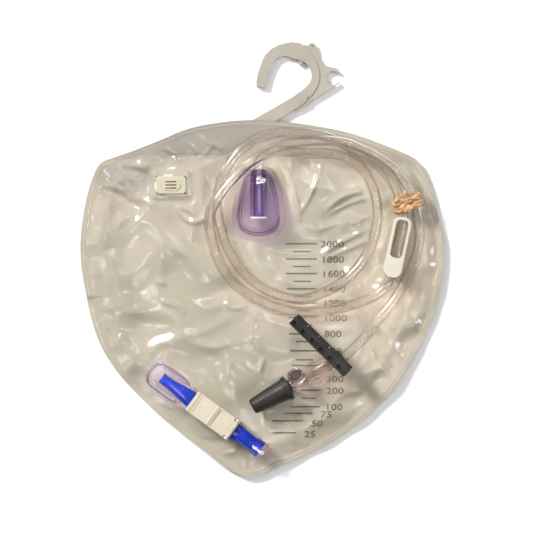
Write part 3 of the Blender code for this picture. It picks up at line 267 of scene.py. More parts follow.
def noise_of(material, scale, detail=4.0, rough=0.55, stretch=EVEN):
    """A noise texture in object space, its scale in features for each metre."""
    coords = node(material, "ShaderNodeTexCoord")
    mapping = node(material, "ShaderNodeMapping")
    put(mapping, Scale=stretch)
    texture = node(material, "ShaderNodeTexNoise")
    put(texture, Scale=scale, Detail=detail, Roughness=rough)
    wire(material, coords.outputs["Object"], mapping.inputs["Vector"])
    wire(material, mapping.outputs["Vector"], texture.inputs["Vector"])
    return texture


def ramp(material, source, stops):
    """A colour ramp over source from (place, colour) stops."""
    found = node(material, "ShaderNodeValToRGB")
    elements = found.color_ramp.elements
    while len(elements) < len(stops):
        elements.new(0.5)
    for element, (place, colour) in zip(elements, stops):
        element.position = place
        element.color = (*colour, 1.0)
    wire(material, source, found.inputs["Fac"])
    return found


def mottled(material, colour, other, scale, low=0.35, high=0.65):
    """The base colour wanders between two colours."""
    texture = noise_of(material, scale)
    colours = ramp(material, texture.outputs["Fac"], [(low, colour), (high, other)])
    wire(material, colours.outputs["Color"], shader_of(material).inputs["Base Color"])


def rough_between(material, scale, low, high):
    """The roughness wanders between two values."""
    texture = noise_of(material, scale, 6.0)
    spread = node(material, "ShaderNodeMapRange")
    put(spread, From_Min=NOISE_SPAN[0], From_Max=NOISE_SPAN[1], To_Min=low, To_Max=high)
    wire(material, texture.outputs["Fac"], spread.inputs["Value"])
    wire(material, spread.outputs["Result"], shader_of(material).inputs["Roughness"])


def bumped(material, *layers):
    """Bump from (scale, strength, distance in mm) noise layers over each other; a stretch may follow."""
    last = None
    for scale, strength, distance, *stretch in layers:
        texture = noise_of(material, scale, 5.0, 0.6, *stretch)
        bump = node(material, "ShaderNodeBump")
        put(bump, Strength=strength, Distance=distance * MM)
        wire(material, texture.outputs["Fac"], bump.inputs["Height"])
        if last:
            wire(material, last.outputs["Normal"], bump.inputs["Normal"])
        last = bump
    wire(material, last.outputs["Normal"], shader_of(material).inputs["Normal"])


def lets_light_through(material, tint, share):
    """Shadow rays pass this share of the light, tinted, so that clear plastic throws a pale shadow."""
    output = material.node_tree.nodes["Material Output"]
    path = node(material, "ShaderNodeLightPath")
    part = node(material, "ShaderNodeMath", operation="MULTIPLY")
    part.inputs[1].default_value = share
    clear = node(material, "ShaderNodeBsdfTransparent")
    put(clear, Color=(*tint, 1.0))
    mix = node(material, "ShaderNodeMixShader")
    wire(material, path.outputs["Is Shadow Ray"], part.inputs[0])
    wire(material, part.outputs["Value"], mix.inputs["Fac"])
    wire(material, shader_of(material).outputs["BSDF"], mix.inputs[1])
    wire(material, clear.outputs["BSDF"], mix.inputs[2])
    wire(material, mix.outputs["Shader"], output.inputs["Surface"])


def tinted_by_slope(material, steep, flat, foot):
    """Tinted clear plastic looks deeper where its walls stand up; its welded foot is thin and pale."""
    coords = node(material, "ShaderNodeTexCoord")
    split = node(material, "ShaderNodeSeparateXYZ")
    size = node(material, "ShaderNodeMath", operation="ABSOLUTE")
    wire(material, coords.outputs["Normal"], split.inputs["Vector"])
    wire(material, split.outputs["Z"], size.inputs[0])
    colours = ramp(material, size.outputs["Value"], [(SLOPE_SPAN[0], steep), (SLOPE_SPAN[1], flat)])
    place = node(material, "ShaderNodeSeparateXYZ")
    wire(material, coords.outputs["Object"], place.inputs["Vector"])
    height = node(material, "ShaderNodeMapRange")
    put(height, From_Min=(REST_Z + FOOT_T) * MM, From_Max=(REST_Z + FOOT_T + FOOT_BLEND) * MM)
    wire(material, place.outputs["Z"], height.inputs["Value"])
    both = node(material, "ShaderNodeMix", data_type="RGBA")
    put(both, A=(*foot, 1.0))
    wire(material, height.outputs["Result"], both.inputs["Factor"])
    wire(material, colours.outputs["Color"], both.inputs["B"])
    wire(material, both.outputs["Result"], shader_of(material).inputs["Base Color"])


def header_tone_and_painted_shade(material, tone_and_shade_colour):
    """The base colour is multiplied by a darker tone where the films' attribute for it is 1: along the
    header this is partly the doubled film's own tone and partly painted shade, at the folded corner below it
    painted shade.
    """
    base = shader_of(material).inputs["Base Color"]
    source = base.links[0].from_socket
    tone_and_shade = node(material, "ShaderNodeAttribute", attribute_name="tone_and_shade")
    tone_and_shade_mix = node(material, "ShaderNodeMix", data_type="RGBA", blend_type="MULTIPLY")
    put(tone_and_shade_mix, B=(*tone_and_shade_colour, 1.0))
    wire(material, tone_and_shade.outputs["Fac"], tone_and_shade_mix.inputs["Factor"])
    wire(material, source, tone_and_shade_mix.inputs["A"])
    wire(material, tone_and_shade_mix.outputs["Result"], base)


def front_film_material():
    made = principled("film_clear", (0.42, 0.375, 0.295), 0.2, Alpha=0.82, IOR=1.5)
    mottled(made, (0.392, 0.358, 0.276), (0.445, 0.392, 0.318), 14.0)
    # Darker and greyer along the header, partly the doubled film's own tone and partly painted shade, and
    # painted shade at the folded corner below it
    header_tone_and_painted_shade(made, (0.76, 0.78, 0.85))
    rough_between(made, 30.0, 0.13, 0.24)
    bumped(made, (45.0, 0.35, 1.6))
    return made


def rear_film_material():
    made = principled("film_back", (0.43, 0.38, 0.31), 0.34, IOR=1.45)
    mottled(made, (0.41, 0.365, 0.295), (0.47, 0.42, 0.35), 18.0)
    bumped(made, (150.0, 0.3, 0.8), (1400.0, 0.25, 0.08))
    return made


def clear_tube_material():
    made = principled("tube_clear", (0.90, 0.88, 0.86), 0.12, Transmission_Weight=1.0, IOR=1.36)
    rim = node(made, "ShaderNodeLayerWeight")
    put(rim, Blend=0.5)
    stops = [(0.12, (0.96, 0.94, 0.925)), (0.40, (0.77, 0.73, 0.70)), (0.74, (0.30, 0.27, 0.25))]
    colours = ramp(made, rim.outputs["Facing"], stops)
    wire(made, colours.outputs["Color"], shader_of(made).inputs["Base Color"])
    bumped(made, (14.0, 0.12, 0.3))
    lets_light_through(made, (0.84, 0.82, 0.80), 0.9)
    return made


def purple_material(name, steep, flat, foot, passed, roughness=0.06):
    made = principled(name, flat, roughness, Transmission_Weight=1.0, IOR=1.38)
    tinted_by_slope(made, steep, flat, foot)
    bumped(made, (90.0, 0.2, 0.3))
    lets_light_through(made, passed, 0.85)
    return made


def cream_material(name, colour, other, grain):
    made = principled(name, colour, 0.42)
    mottled(made, colour, other, 26.0)
    rough_between(made, 120.0, 0.34, 0.5)
    bumped(made, (grain, 0.25, 0.12), (4200.0, 0.15, 0.03))
    return made


def black_material():
    made = principled("black_moulding", (0.018, 0.016, 0.013), 0.45, Specular_IOR_Level=0.25)
    mottled(made, (0.014, 0.012, 0.010), (0.030, 0.027, 0.022), 55.0)
    rough_between(made, 300.0, 0.36, 0.56)
    bumped(made, (1600.0, 0.3, 0.08))
    return made


def blue_material():
    made = principled("tube_blue", (0.006, 0.024, 0.30), 0.12, Specular_IOR_Level=0.5)
    mottled(made, (0.004, 0.018, 0.26), (0.009, 0.032, 0.34), 40.0)
    bumped(made, (70.0, 0.25, 0.4))
    return made


def rubber_material():
    made = principled("tan_rubber", (0.52, 0.29, 0.13), 0.5, Subsurface_Weight=0.1)
    mottled(made, (0.42, 0.21, 0.085), (0.60, 0.36, 0.18), 220.0)
    bumped(made, (900.0, 0.4, 0.1))
    return made


def membrane_material():
    made = principled("filter_membrane", (0.50, 0.47, 0.38), 0.9, Specular_IOR_Level=0.1)
    mottled(made, (0.47, 0.44, 0.355), (0.53, 0.50, 0.405), 900.0)
    bumped(made, (3000.0, 0.25, 0.05))
    return made


def steel_material():
    made = principled("pin_wire", (0.62, 0.62, 0.63), 0.28, Metallic=1.0)
    bumped(made, (500.0, 0.2, 0.03, (8.0, 8.0, 1.0)))
    return made


def septum_material():
    made = principled("septum_grey", (0.045, 0.034, 0.036), 0.6, Specular_IOR_Level=0.15)
    mottled(made, (0.036, 0.027, 0.029), (0.065, 0.050, 0.053), 300.0)
    bumped(made, (2200.0, 0.3, 0.05))
    return made


def ink_material():
    made = principled("print_ink", (0.12, 0.105, 0.082), 0.5, Specular_IOR_Level=0.3)
    mottled(made, (0.09, 0.08, 0.06), (0.20, 0.175, 0.14), 900.0, 0.4, 0.7)
    bumped(made, (2500.0, 0.2, 0.02))
    return made


PALE = (0.95, 0.92, 0.95)
CREAM = cream_material("cream_hook", (0.30, 0.27, 0.225), (0.345, 0.315, 0.26), 700.0)
CLAMP_CREAM = cream_material("cream_clamp", (0.49, 0.43, 0.335), (0.56, 0.495, 0.39), 900.0)
VENT_CREAM = cream_material("cream_vent", (0.43, 0.385, 0.285), (0.48, 0.43, 0.33), 600.0)
PINCH = cream_material("pinch_white", (0.50, 0.45, 0.375), (0.57, 0.52, 0.435), 800.0)
CHAMBER = purple_material("purple_chamber", (0.48, 0.39, 0.66), (0.82, 0.77, 0.89), PALE, (0.91, 0.88, 0.94))
FLANGE = purple_material("purple_flange", (0.85, 0.80, 0.88), PALE, PALE, (0.92, 0.88, 0.92))
BARREL = purple_material("purple_barrel", (0.36, 0.26, 0.58), (0.66, 0.58, 0.80), PALE, (0.72, 0.66, 0.84))
CONNECTOR_FLAT = (0.84, 0.77, 0.76)
CONNECTOR = purple_material(
    "purple_connector", (0.64, 0.54, 0.55), CONNECTOR_FLAT, CONNECTOR_FLAT, (0.82, 0.76, 0.76), 0.12
)
HOLDER = purple_material("holder_clear", (0.66, 0.60, 0.84), (0.93, 0.91, 0.97), PALE, (0.90, 0.88, 0.95))
lets_light_through(PINCH, (0.9, 0.86, 0.78), 0.5)
BLACK = black_material()
BLUE = blue_material()
RUBBER = rubber_material()
MEMBRANE = membrane_material()
STEEL = steel_material()
SEPTUM = septum_material()
FLAP = cream_material("flap_white", (0.82, 0.82, 0.83), (0.88, 0.88, 0.88), 900.0)
INK = ink_material()

NODE_MATERIALS = {
    "hook": CREAM, "hanger_plate": CREAM, "hanger_rivet": CREAM, "vent_housing": VENT_CREAM,
    "vent_filter": MEMBRANE, "chamber_base": FLANGE, "chamber_dome": CHAMBER, "inlet_nozzle": BARREL,
    "reflux_flap": FLAP, "pinch_clamp": PINCH, "connector_body": CONNECTOR, "sampling_septum": SEPTUM,
    "connector_cap": BLACK, "sheet_clip_base": BLACK, "sheet_clip_jaw": BLACK, "jaw_pin": STEEL,
    "drain_tube": BLUE, "drain_clamp_body": CLAMP_CREAM, "drain_clamp_lever": CLAMP_CREAM,
    "lever_pin": STEEL, "spout_holder": HOLDER, "outlet_port": HOLDER,
}
for name, material in NODE_MATERIALS.items():
    NODES[name].data.materials.clear()
    NODES[name].data.materials.append(material)


def dressed(obj, material, slot, body, *replaced):
    """A new piece with its material, the body it rides on and the nodes it stands for; slot is not used."""
    obj.data.materials.append(material)
    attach(obj, body)
    if replaced:
        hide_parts(*replaced)
    return obj


# The tube

TUBE_RINGS = 640
TUBE_SIDES = 32


def make_tube():
    """The hollow tube, a closed skin with its real wall."""
    line = tube_path(TUBE_RINGS)

    def build(bm):
        walls = []
        for radius in (TUBE_R, TUBE_R - TUBE_WALL):
            rings = [
                round_ring(bm, p, side, up, radius, TUBE_SIDES)
                for p, (side, up) in zip(line, path_frames(line))
            ]
            for ring, other in zip(rings, rings[1:]):
                bridge(bm, ring, other)
            walls.append(rings)
        for end in (0, -1):
            bridge(bm, walls[0][end], walls[1][end])

    tube = mesh_piece("inlet_tube", build)
    dressed(tube, clear_tube_material(), "clear_tube", "root", "drainage_tube")
    return tube, line


tube, tube_line = make_tube()

# The films

# The weld's width, the run over which the front film rises inside it, and the films' gap there, mm
WELD_WIDTH = 3.0
CROWN_RUN = 17.0
WELD_GAP = 0.3
WELD_Z = FILM_T + WELD_GAP
# The header in mm: its lift, the heights between which it comes to it, and the same across, at each end
HEADER_LIFT = 6.9
HEADER_FOOT = 62.0
HEADER_LINE = 84.0
HEADER_ENDS = (-108.0, -66.0, 100.0, 124.0)
# The mesh: the middle that the edge is sorted round, the spacings, and the insets of the weld's rings, mm
BAG_MIDDLE = Vector((0.0, -25.0))
FRONT_STEP = 1.27
REAR_STEP = 2.4
WELD_RINGS = (0.0, 0.7, 1.4, 2.1, 2.7, 3.0, 3.4, 4.2)
INNER_SHARE = 0.75  # of a step, between the weld's last ring and the lattice inside it
INSIDE_ONLY = 1  # the triangles that the triangulation keeps
SAME_POINT = 1e-4
FILM_SMOOTH = math.radians(70)
SIDE_SLOPE = 0.35  # a face whose normal stands up less than this belongs to the rim
EDGE_POINTS = 2000  # the points that the edge's length is measured with
EDGE_FINE = 0.5  # the spacing in mm of the edge that insets and runs are measured from
ABOVE_ALL = 0.1  # a height in metres over everything, from which rays are cast down

# Creases of the front film: pixels of the photograph along the ridge, its height and half width in mm
CREASES = [
    ([(290, 168), (294, 190), (299, 215)], 1.5, 1.5),
    ([(322, 160), (317, 180), (309, 198), (299, 215)], 1.7, 1.5),
    ([(296, 196), (299, 215), (301, 222)], 1.2, 1.8),
    ([(325, 211), (343, 197), (368, 189)], 1.7, 2.2),
    ([(328, 215), (348, 204), (370, 197)], 1.2, 1.6),
    ([(316, 231), (340, 222)], 0.9, 1.8),
    ([(350, 225), (369, 216)], 0.9, 1.5),
    ([(318, 256), (344, 241), (372, 227)], 1.6, 2.0),
    ([(324, 260), (350, 248), (374, 238)], 1.3, 1.8),
    ([(266, 249), (290, 254), (320, 253)], 1.0, 1.7),
    ([(176, 205), (183, 217), (192, 222), (202, 220), (207, 207)], 1.5, 1.8),
    ([(177, 206), (190, 211), (199, 221)], 1.2, 1.5),
    ([(150, 197), (157, 205)], 1.3, 1.8),
    ([(160, 300), (174, 305), (186, 313)], 1.4, 2.1),
    ([(264, 357), (259, 374)], 1.3, 1.9),
    ([(406, 318), (425, 337)], 1.3, 1.6),
    ([(414, 320), (424, 327), (429, 338)], 1.2, 1.5),
    ([(367, 343), (379, 362), (393, 382)], 1.3, 1.7),
    ([(380, 350), (386, 362), (398, 368), (409, 362)], 1.3, 1.7),
    ([(192, 439), (214, 436), (228, 441), (242, 448)], 1.2, 1.8),
    ([(221, 454), (237, 452)], 1.0, 1.5),
    ([(378, 283), (401, 275)], 1.2, 1.6),
    ([(372, 289), (399, 286)], 1.2, 1.6),
    ([(424, 231), (438, 226)], 1.2, 1.6),
    ([(226, 292), (231, 308), (252, 305)], 1.0, 1.9),
    ([(90, 192), (104, 186), (118, 190), (131, 199)], 1.9, 3.4),
    ([(98, 170), (118, 164), (150, 168)], 2.4, 3.6),
    ([(112, 204), (135, 199), (160, 206)], 1.1, 3.2),
    ([(187, 132), (184, 144), (180, 157)], 1.2, 2.0),
    ([(215, 143), (208, 150), (203, 158)], 1.0, 1.8),
    ([(150, 350), (178, 338), (208, 330), (238, 312)], 1.3, 5.0),
    ([(139, 390), (156, 402), (174, 410)], 1.2, 1.7),
    ([(262, 300), (252, 330), (262, 352)], 0.9, 3.4),
    ([(84, 272), (95, 276)], 1.2, 2.0),
    ([(156, 281), (167, 285)], 1.1, 1.8),
    ([(288, 449), (297, 451)], 1.0, 1.5),
    ([(302, 448), (310, 443)], 1.0, 1.5),
    ([(270, 160), (284, 168), (289, 187), (296, 211)], 0.9, 1.3),
    ([(225, 198), (222, 213), (225, 233), (237, 243)], 0.9, 1.4),
    ([(264, 410), (265, 428), (272, 433), (284, 431)], 0.8, 0.9),
    ([(196, 196), (192, 240), (204, 262)], 0.7, 3.0),
    ([(108, 250), (118, 286), (140, 318)], 1.0, 5.0),
    ([(108, 160), (130, 150), (156, 141), (190, 133)], 3.0, 3.4),
    ([(146, 139), (164, 147), (178, 157)], 2.6, 2.4),
    ([(192, 132), (206, 141), (224, 150)], 2.4, 2.4),
    ([(174, 134), (190, 144), (204, 157)], 2.0, 2.0),
    ([(400, 160), (412, 176), (420, 196)], 1.5, 3.0),
    ([(330, 405), (352, 392), (372, 398)], 0.9, 2.4),
    ([(320, 436), (340, 428), (352, 412)], 0.9, 2.6),
]
# Valleys pressed into the front film: pixels, depth and half width in mm
VALLEYS = [
    ([(106, 154), (140, 154), (180, 155), (228, 156)], 1.3, 1.0),
    ([(107, 151), (140, 151), (180, 152), (222, 153)], 0.4, 0.6),
    ([(92, 186), (108, 190), (124, 199), (144, 210)], 5.2, 7.5),
    ([(112, 166), (130, 168), (150, 176)], 1.6, 4.0),
    ([(204, 168), (212, 190), (206, 212)], 1.8, 4.5),
    ([(156, 195), (170, 197), (187, 195)], 1.0, 1.6),
    ([(300, 400), (296, 420), (302, 440)], 0.9, 3.5),
    ([(130, 330), (150, 322), (176, 326)], 1.2, 6.0),
    ([(404, 230), (420, 262), (424, 300)], 0.9, 4.0),
]
# What lies on the front film and keeps it level beneath
LYING = (
    "chamber_base", "vent_housing", "connector_cap", "pinch_clamp", "drain_clamp_body", "spout_holder",
    "outlet_port",
)
# How low a piece or a turn of the tube has to lie to count, and how far off the film comes free, mm
LYING_LOW = 4.0
TUBE_LOW = 2.0
CLEAR_NEAR = 3.0
CLEAR_FAR = 13.0
# The header's darker tone is partly the doubled film's own and partly painted shade.
HEADER_TONE_AND_SHADE = (68.0, 79.0)  # the heights in mm between which the films take the header's tone
TONE_AND_SHADE_ENDS = (20.0, 90.0)  # the places along the header in mm between which it fades to the right
# Painted shade of the fold below the header's left end, carried with the header's tone: its place and half
# sizes in mm, the share of the darker tone that it takes, and the parts of its half sizes between which that
# fades
FOLD_SHADE_AT = (-101.0, 61.0)
FOLD_SHADE_SIZE = (36.0, 17.0)
FOLD_SHADE_SHARE = 0.75
FOLD_SHADE_FADE = (0.2, 1.0)
CREASE_GAIN = 1.35  # how much deeper than listed the creases and valleys are made
# A crease or valley: its points, its reach in half widths, and the powers of its ends and its sides
RIDGE_POINTS = 14
RIDGE_REACH = 4
RIDGE_FADE = 0.6
RIDGE_PROFILE = 1.6
# The film's skirt drawn up round the vent: its rise and run, and where it meets the vent's sides, mm
SKIRT_RISE = 3.0
SKIRT_RUN = 7.0
SKIRT_GAPS = (-0.3, -0.1)
SKIRT_SLACK = 0.01
SKIRT_STEP = 0.8
# The loose folds: the scale of each noise in features for each mm, its start, and its height in mm
BROAD_FOLDS = (0.016, (3.1, 0.4, 0.0), 3.4)
MIDDLE_FOLDS = (0.034, (7.4, 2.2, 0.0), 1.9)
WARPS = ((0.03, (0.0, 0.0, 0.0), 12.0), (0.03, (9.0, 5.0, 0.0), 12.0))
SHARP_FOLDS = (0.034, (1.7, 8.2, 0.0), 1.0)
SHARP_ROUNDING = 0.003
SHARP_MEAN = 0.62
SOFT_GAIN = 1.25
SHARP_GAIN = 2.6
# The rim's curl in mm: its height, its level and swing as shares of it, its run inwards, and its waves as
# (scale along the edge, start, share)
RIM_LIFT = 4.2
RIM_LEVEL = 0.85
RIM_SWING = 0.7
RIM_RUN = 24.0
RIM_WAVES = ((0.017, 3.7, 1.0), (0.045, 8.1, 0.5))
# The puckers inside the weld: where they rise and end in mm, and each noise as (along, across, start)
PUCKER_RISE = 4.0
PUCKER_END = (9.0, 26.0)
PUCKER_WAVES = (0.075, 0.02, 5.0)
PUCKER_RIDGES = (0.05, 0.03, 9.0)
PUCKER_HEIGHTS = (0.9, 0.6)
PUCKER_MEAN = 0.7
# The weld's embossed lines: the inset, height and half width of each in mm
WELD_LINES = ((WELD_WIDTH, 0.25, 0.5), (1.4, -0.1, 0.6))
LOOSE_RUN = (-0.5, 12.0)  # from the weld's inner edge to where the film is loose
HELD_SHARE = 0.04  # of a fold's height that is left under what lies on the film
SETTLE = 0.15  # how far the loose film sinks, mm
FILM_GAP = 0.02  # the least gap between the films at the weld, over the weld's own, mm
LOWEST_LIFT = 0.98  # the least share of the header's lift that the front film keeps


def edge_of(name):
    """The outline of a film in mm, read from the rim of its node, anticlockwise."""
    mesh = NODES[name].data
    rim = set()
    for face in mesh.polygons:
        if abs(face.normal.z) < SIDE_SLOPE:
            rim.update(face.vertices)
    around = {}
    for index in rim:
        x, y, _ = mesh.vertices[index].co / MM
        angle = math.atan2(y - BAG_MIDDLE.y, x - BAG_MIDDLE.x)
        around[round(angle, 3)] = (x, y, 0.0)
    return [around[angle] for angle in sorted(around)]


def finder_of(places):
    finder = kdtree.KDTree(len(places))
    for i, (x, y) in enumerate(places):
        finder.insert((x, y, 0.0), i)
    finder.balance()
    return finder


def lying_places():
    """Places in mm where something lies on the front film."""
    places = [(p.x, p.y) for p in tube_line if p.z < TUBE_Z + TUBE_LOW]
    for name in LYING:
        mesh = NODES[name].data
        for face in mesh.polygons:
            corners = [mesh.vertices[i].co / MM for i in face.vertices]
            for i, p in enumerate(corners):
                q = corners[(i + 1) % len(corners)]
                for share in (0.0, 0.25, 0.5, 0.75):
                    at = p.lerp(q, share)
                    if at.z < REST_Z + LYING_LOW:
                        places.append((at.x, at.y))
    return places


EDGE_KNOTS = edge_of("rear_film")
EDGE_LENGTH = length_of(smooth_path(EDGE_KNOTS, EDGE_POINTS, closed=True))
EDGE_DENSE = smooth_path(EDGE_KNOTS, round(EDGE_LENGTH / EDGE_FINE), closed=True)
EDGE_FINDER = finder_of([(p.x, p.y) for p in EDGE_DENSE])
LYING_FINDER = finder_of(lying_places())


def ridge_lines(listed):
    return [
        (smooth_path([(*px(*p), 0.0) for p in line], RIDGE_POINTS), CREASE_GAIN * size, half)
        for line, size, half in listed
    ]


CREASE_LINES = ridge_lines(CREASES)
VALLEY_LINES = ridge_lines(VALLEYS)


def header_height(x, y):
    across = rise(x, *HEADER_ENDS[:2]) * (1 - rise(x, *HEADER_ENDS[2:]))
    return HEADER_LIFT * rise(y, HEADER_FOOT, HEADER_LINE) * across


def ridge_field(places, lines):
    """The summed profiles of the lines at many places, each fading towards its ends."""
    total = np.zeros(len(places))
    for line, size, half in lines:
        points = np.array([(p.x, p.y) for p in line])
        reach = RIDGE_REACH * half
        low, high = points.min(axis=0) - reach, points.max(axis=0) + reach
        near = np.nonzero(np.all((places > low) & (places < high), axis=1))[0]
        if len(near) == 0:
            continue
        at = places[near]
        best = np.full(len(near), 1e9)
        share = np.zeros(len(near))
        for i in range(len(points) - 1):
            along = points[i + 1] - points[i]
            t = np.clip((at - points[i]) @ along / (along @ along), 0.0, 1.0)
            gap = np.linalg.norm(at - points[i] - t[:, None] * along, axis=1)
            closer = gap < best
            best[closer] = gap[closer]
            share[closer] = ((i + t) / (len(points) - 1))[closer]
        fade = np.sin(math.pi * np.clip(share, 0.0, 1.0)) ** RIDGE_FADE
        total[near] += size * fade * np.exp(-((best / half) ** RIDGE_PROFILE))
    return total


def layer(p, scale, start, height):
    """One layer of noise, about zero on the whole."""
    return noise.noise(p * scale + Vector(start)) * height


def fold_height(x, y):
    """Soft folds and crumples of the film, about zero on the whole."""
    p = Vector((x, y, 0.0))
    soft = layer(p, *BROAD_FOLDS) + layer(p, *MIDDLE_FOLDS)
    warp = Vector((layer(p, *WARPS[0]), layer(p, *WARPS[1]), 0.0))
    sharp = 1.0 - 2.0 * math.sqrt(layer(p + warp, *SHARP_FOLDS) ** 2 + SHARP_ROUNDING)
    return SOFT_GAIN * soft + SHARP_GAIN * (sharp - SHARP_MEAN)


def rim_lift(run, inset):
    """How far both films curl off the surface towards their edge; run is the distance along it."""
    wave = sum(share * noise.noise(Vector((run * scale, start, 0.0))) for scale, start, share in RIM_WAVES)
    return max(RIM_LIFT * (RIM_LEVEL + RIM_SWING * wave), 0.0) * (1 - rise(inset, 0.0, RIM_RUN))


def pucker_noise(run, inset, along, across, start):
    return noise.noise(Vector((run * along, inset * across, start)))


def puckers(run, inset):
    """Short radial puckers just inside the weld; run is the distance along the edge in mm."""
    near = rise(inset, WELD_WIDTH, WELD_WIDTH + PUCKER_RISE) * (1 - rise(inset, *PUCKER_END))
    wave = pucker_noise(run, inset, *PUCKER_WAVES)
    ridge = 1.0 - 2.0 * abs(pucker_noise(run, inset, *PUCKER_RIDGES))
    return (PUCKER_HEIGHTS[0] * wave + PUCKER_HEIGHTS[1] * (ridge - PUCKER_MEAN)) * near


VENT_LOW, VENT_HIGH = (Vector(corner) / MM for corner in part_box("vent_housing"))


def skirt(x, y):
    """How far the film is drawn up against the sides of the vent."""
    dx = max(VENT_LOW.x - x, x - VENT_HIGH.x)
    dy = max(VENT_LOW.y - y, y - VENT_HIGH.y)
    gap = max(dx, dy) if max(dx, dy) < 0 else math.hypot(max(dx, 0.0), max(dy, 0.0))
    if gap < SKIRT_GAPS[1] - SKIRT_SLACK:
        return 0.0
    return SKIRT_RISE * (1 - rise(gap, SKIRT_GAPS[1], SKIRT_RUN))


def beside_vent(gap):
    """Places in mm round the vent at a gap from its sides."""
    low, high = VENT_LOW - Vector((gap, gap, 0)), VENT_HIGH + Vector((gap, gap, 0))
    corners = [(low.x, low.y), (high.x, low.y), (high.x, high.y), (low.x, high.y)]
    places = []
    for (x0, y0), (x1, y1) in zip(corners, corners[1:] + corners[:1]):
        count = round(math.hypot(x1 - x0, y1 - y0) / SKIRT_STEP)
        places += [(x0 + (x1 - x0) * k / count, y0 + (y1 - y0) * k / count) for k in range(count)]
    return places


def front_height(x, y, inset, run, ridge):
    """The top of the front film in mm at one place; ridge is what its creases and valleys add there."""
    lifted = header_height(x, y)
    crown = rise(inset, WELD_WIDTH, WELD_WIDTH + CROWN_RUN)
    level = WELD_Z + FILM_T + lifted + (HEADER_LIFT - lifted) * crown
    loose = rise(inset, WELD_WIDTH + LOOSE_RUN[0], WELD_WIDTH + LOOSE_RUN[1])
    free = rise(LYING_FINDER.find((x, y, 0.0))[2], CLEAR_NEAR, CLEAR_FAR)
    change = (fold_height(x, y) + ridge) * loose + puckers(run, inset)
    if change > 0:
        change *= HELD_SHARE + (1 - HELD_SHARE) * free
    weld = sum(height * math.exp(-(((inset - at) / half) ** 2)) for at, height, half in WELD_LINES)
    floor = WELD_Z + FILM_T + FILM_GAP + lifted * LOWEST_LIFT
    curl = rim_lift(run, inset) * (1 - lifted / HEADER_LIFT)
    return max(level + change + weld + (skirt(x, y) - SETTLE) * loose, floor) + curl


def front_heights(places, insets, runs):
    """The top of the front film in mm at many places."""
    ridges = ridge_field(places, CREASE_LINES) - ridge_field(places, VALLEY_LINES)
    return [front_height(x, y, *rest) for (x, y), *rest in zip(places, insets, runs, ridges)]


def rear_heights(places, insets, runs):
    """The top of the rear film in mm; its back lies on the surface but for the header and the rim."""
    found = []
    for (x, y), inset, run in zip(places, insets, runs):
        lifted = header_height(x, y)
        found.append(FILM_T + lifted + rim_lift(run, inset) * (1 - lifted / HEADER_LIFT))
    return found


def tone_and_shade_share(x, y):
    """How far the films take the darker tone at a place in mm, from 0 to 1: the header's, partly its own
    tone and partly painted shade, and the painted shade of the folded corner.
    """
    tone_and_shade = rise(y, *HEADER_TONE_AND_SHADE) * (1 - rise(x, *TONE_AND_SHADE_ENDS))
    away = math.hypot((x - FOLD_SHADE_AT[0]) / FOLD_SHADE_SIZE[0], (y - FOLD_SHADE_AT[1]) / FOLD_SHADE_SIZE[1])
    return max(tone_and_shade, FOLD_SHADE_SHARE * (1 - rise(away, *FOLD_SHADE_FADE)))


def weld_places(around):
    """Rings of places in mm along the weld, the outermost on the edge itself."""
    places = []
    for inset in WELD_RINGS:
        for i, p in enumerate(around):
            along = (around[(i + 1) % len(around)] - around[i - 1]).normalized()
            places.append((p.x - along.y * inset, p.y + along.x * inset))
    return places


def lattice_places(around, step):
    """Places in mm inside the weld, in rows that are set half a step from each other."""
    pitch = step * math.sqrt(3) / 2
    inner = WELD_RINGS[-1] + INNER_SHARE * step
    low_x, high_x = min(p.x for p in around), max(p.x for p in around)
    low_y, high_y = min(p.y for p in around), max(p.y for p in around)
    places = []
    row = 0
    while low_y + row * pitch < high_y:
        y = low_y + row * pitch
        crossings = [
            p.x + (q.x - p.x) * (y - p.y) / (q.y - p.y)
            for p, q in zip(around, around[1:] + around[:1])
            if (p.y > y) != (q.y > y)
        ]
        x = low_x + (row % 2) * step / 2
        while x < high_x:
            inside = sum(crossing > x for crossing in crossings) % 2
            if inside and EDGE_FINDER.find((x, y, 0.0))[2] > inner:
                places.append((x, y))
            x += step
        row += 1
    return places


def film_places(step):
    """Places in mm over a film, the edge's own first, and the pairs of places that its rim joins."""
    around = smooth_path(EDGE_KNOTS, round(EDGE_LENGTH / step), closed=True)
    places = weld_places(around) + lattice_places(around, step)
    for gap in SKIRT_GAPS:
        places += beside_vent(gap)
    rim = [(i, (i + 1) % len(around)) for i in range(len(around))]
    return places, rim


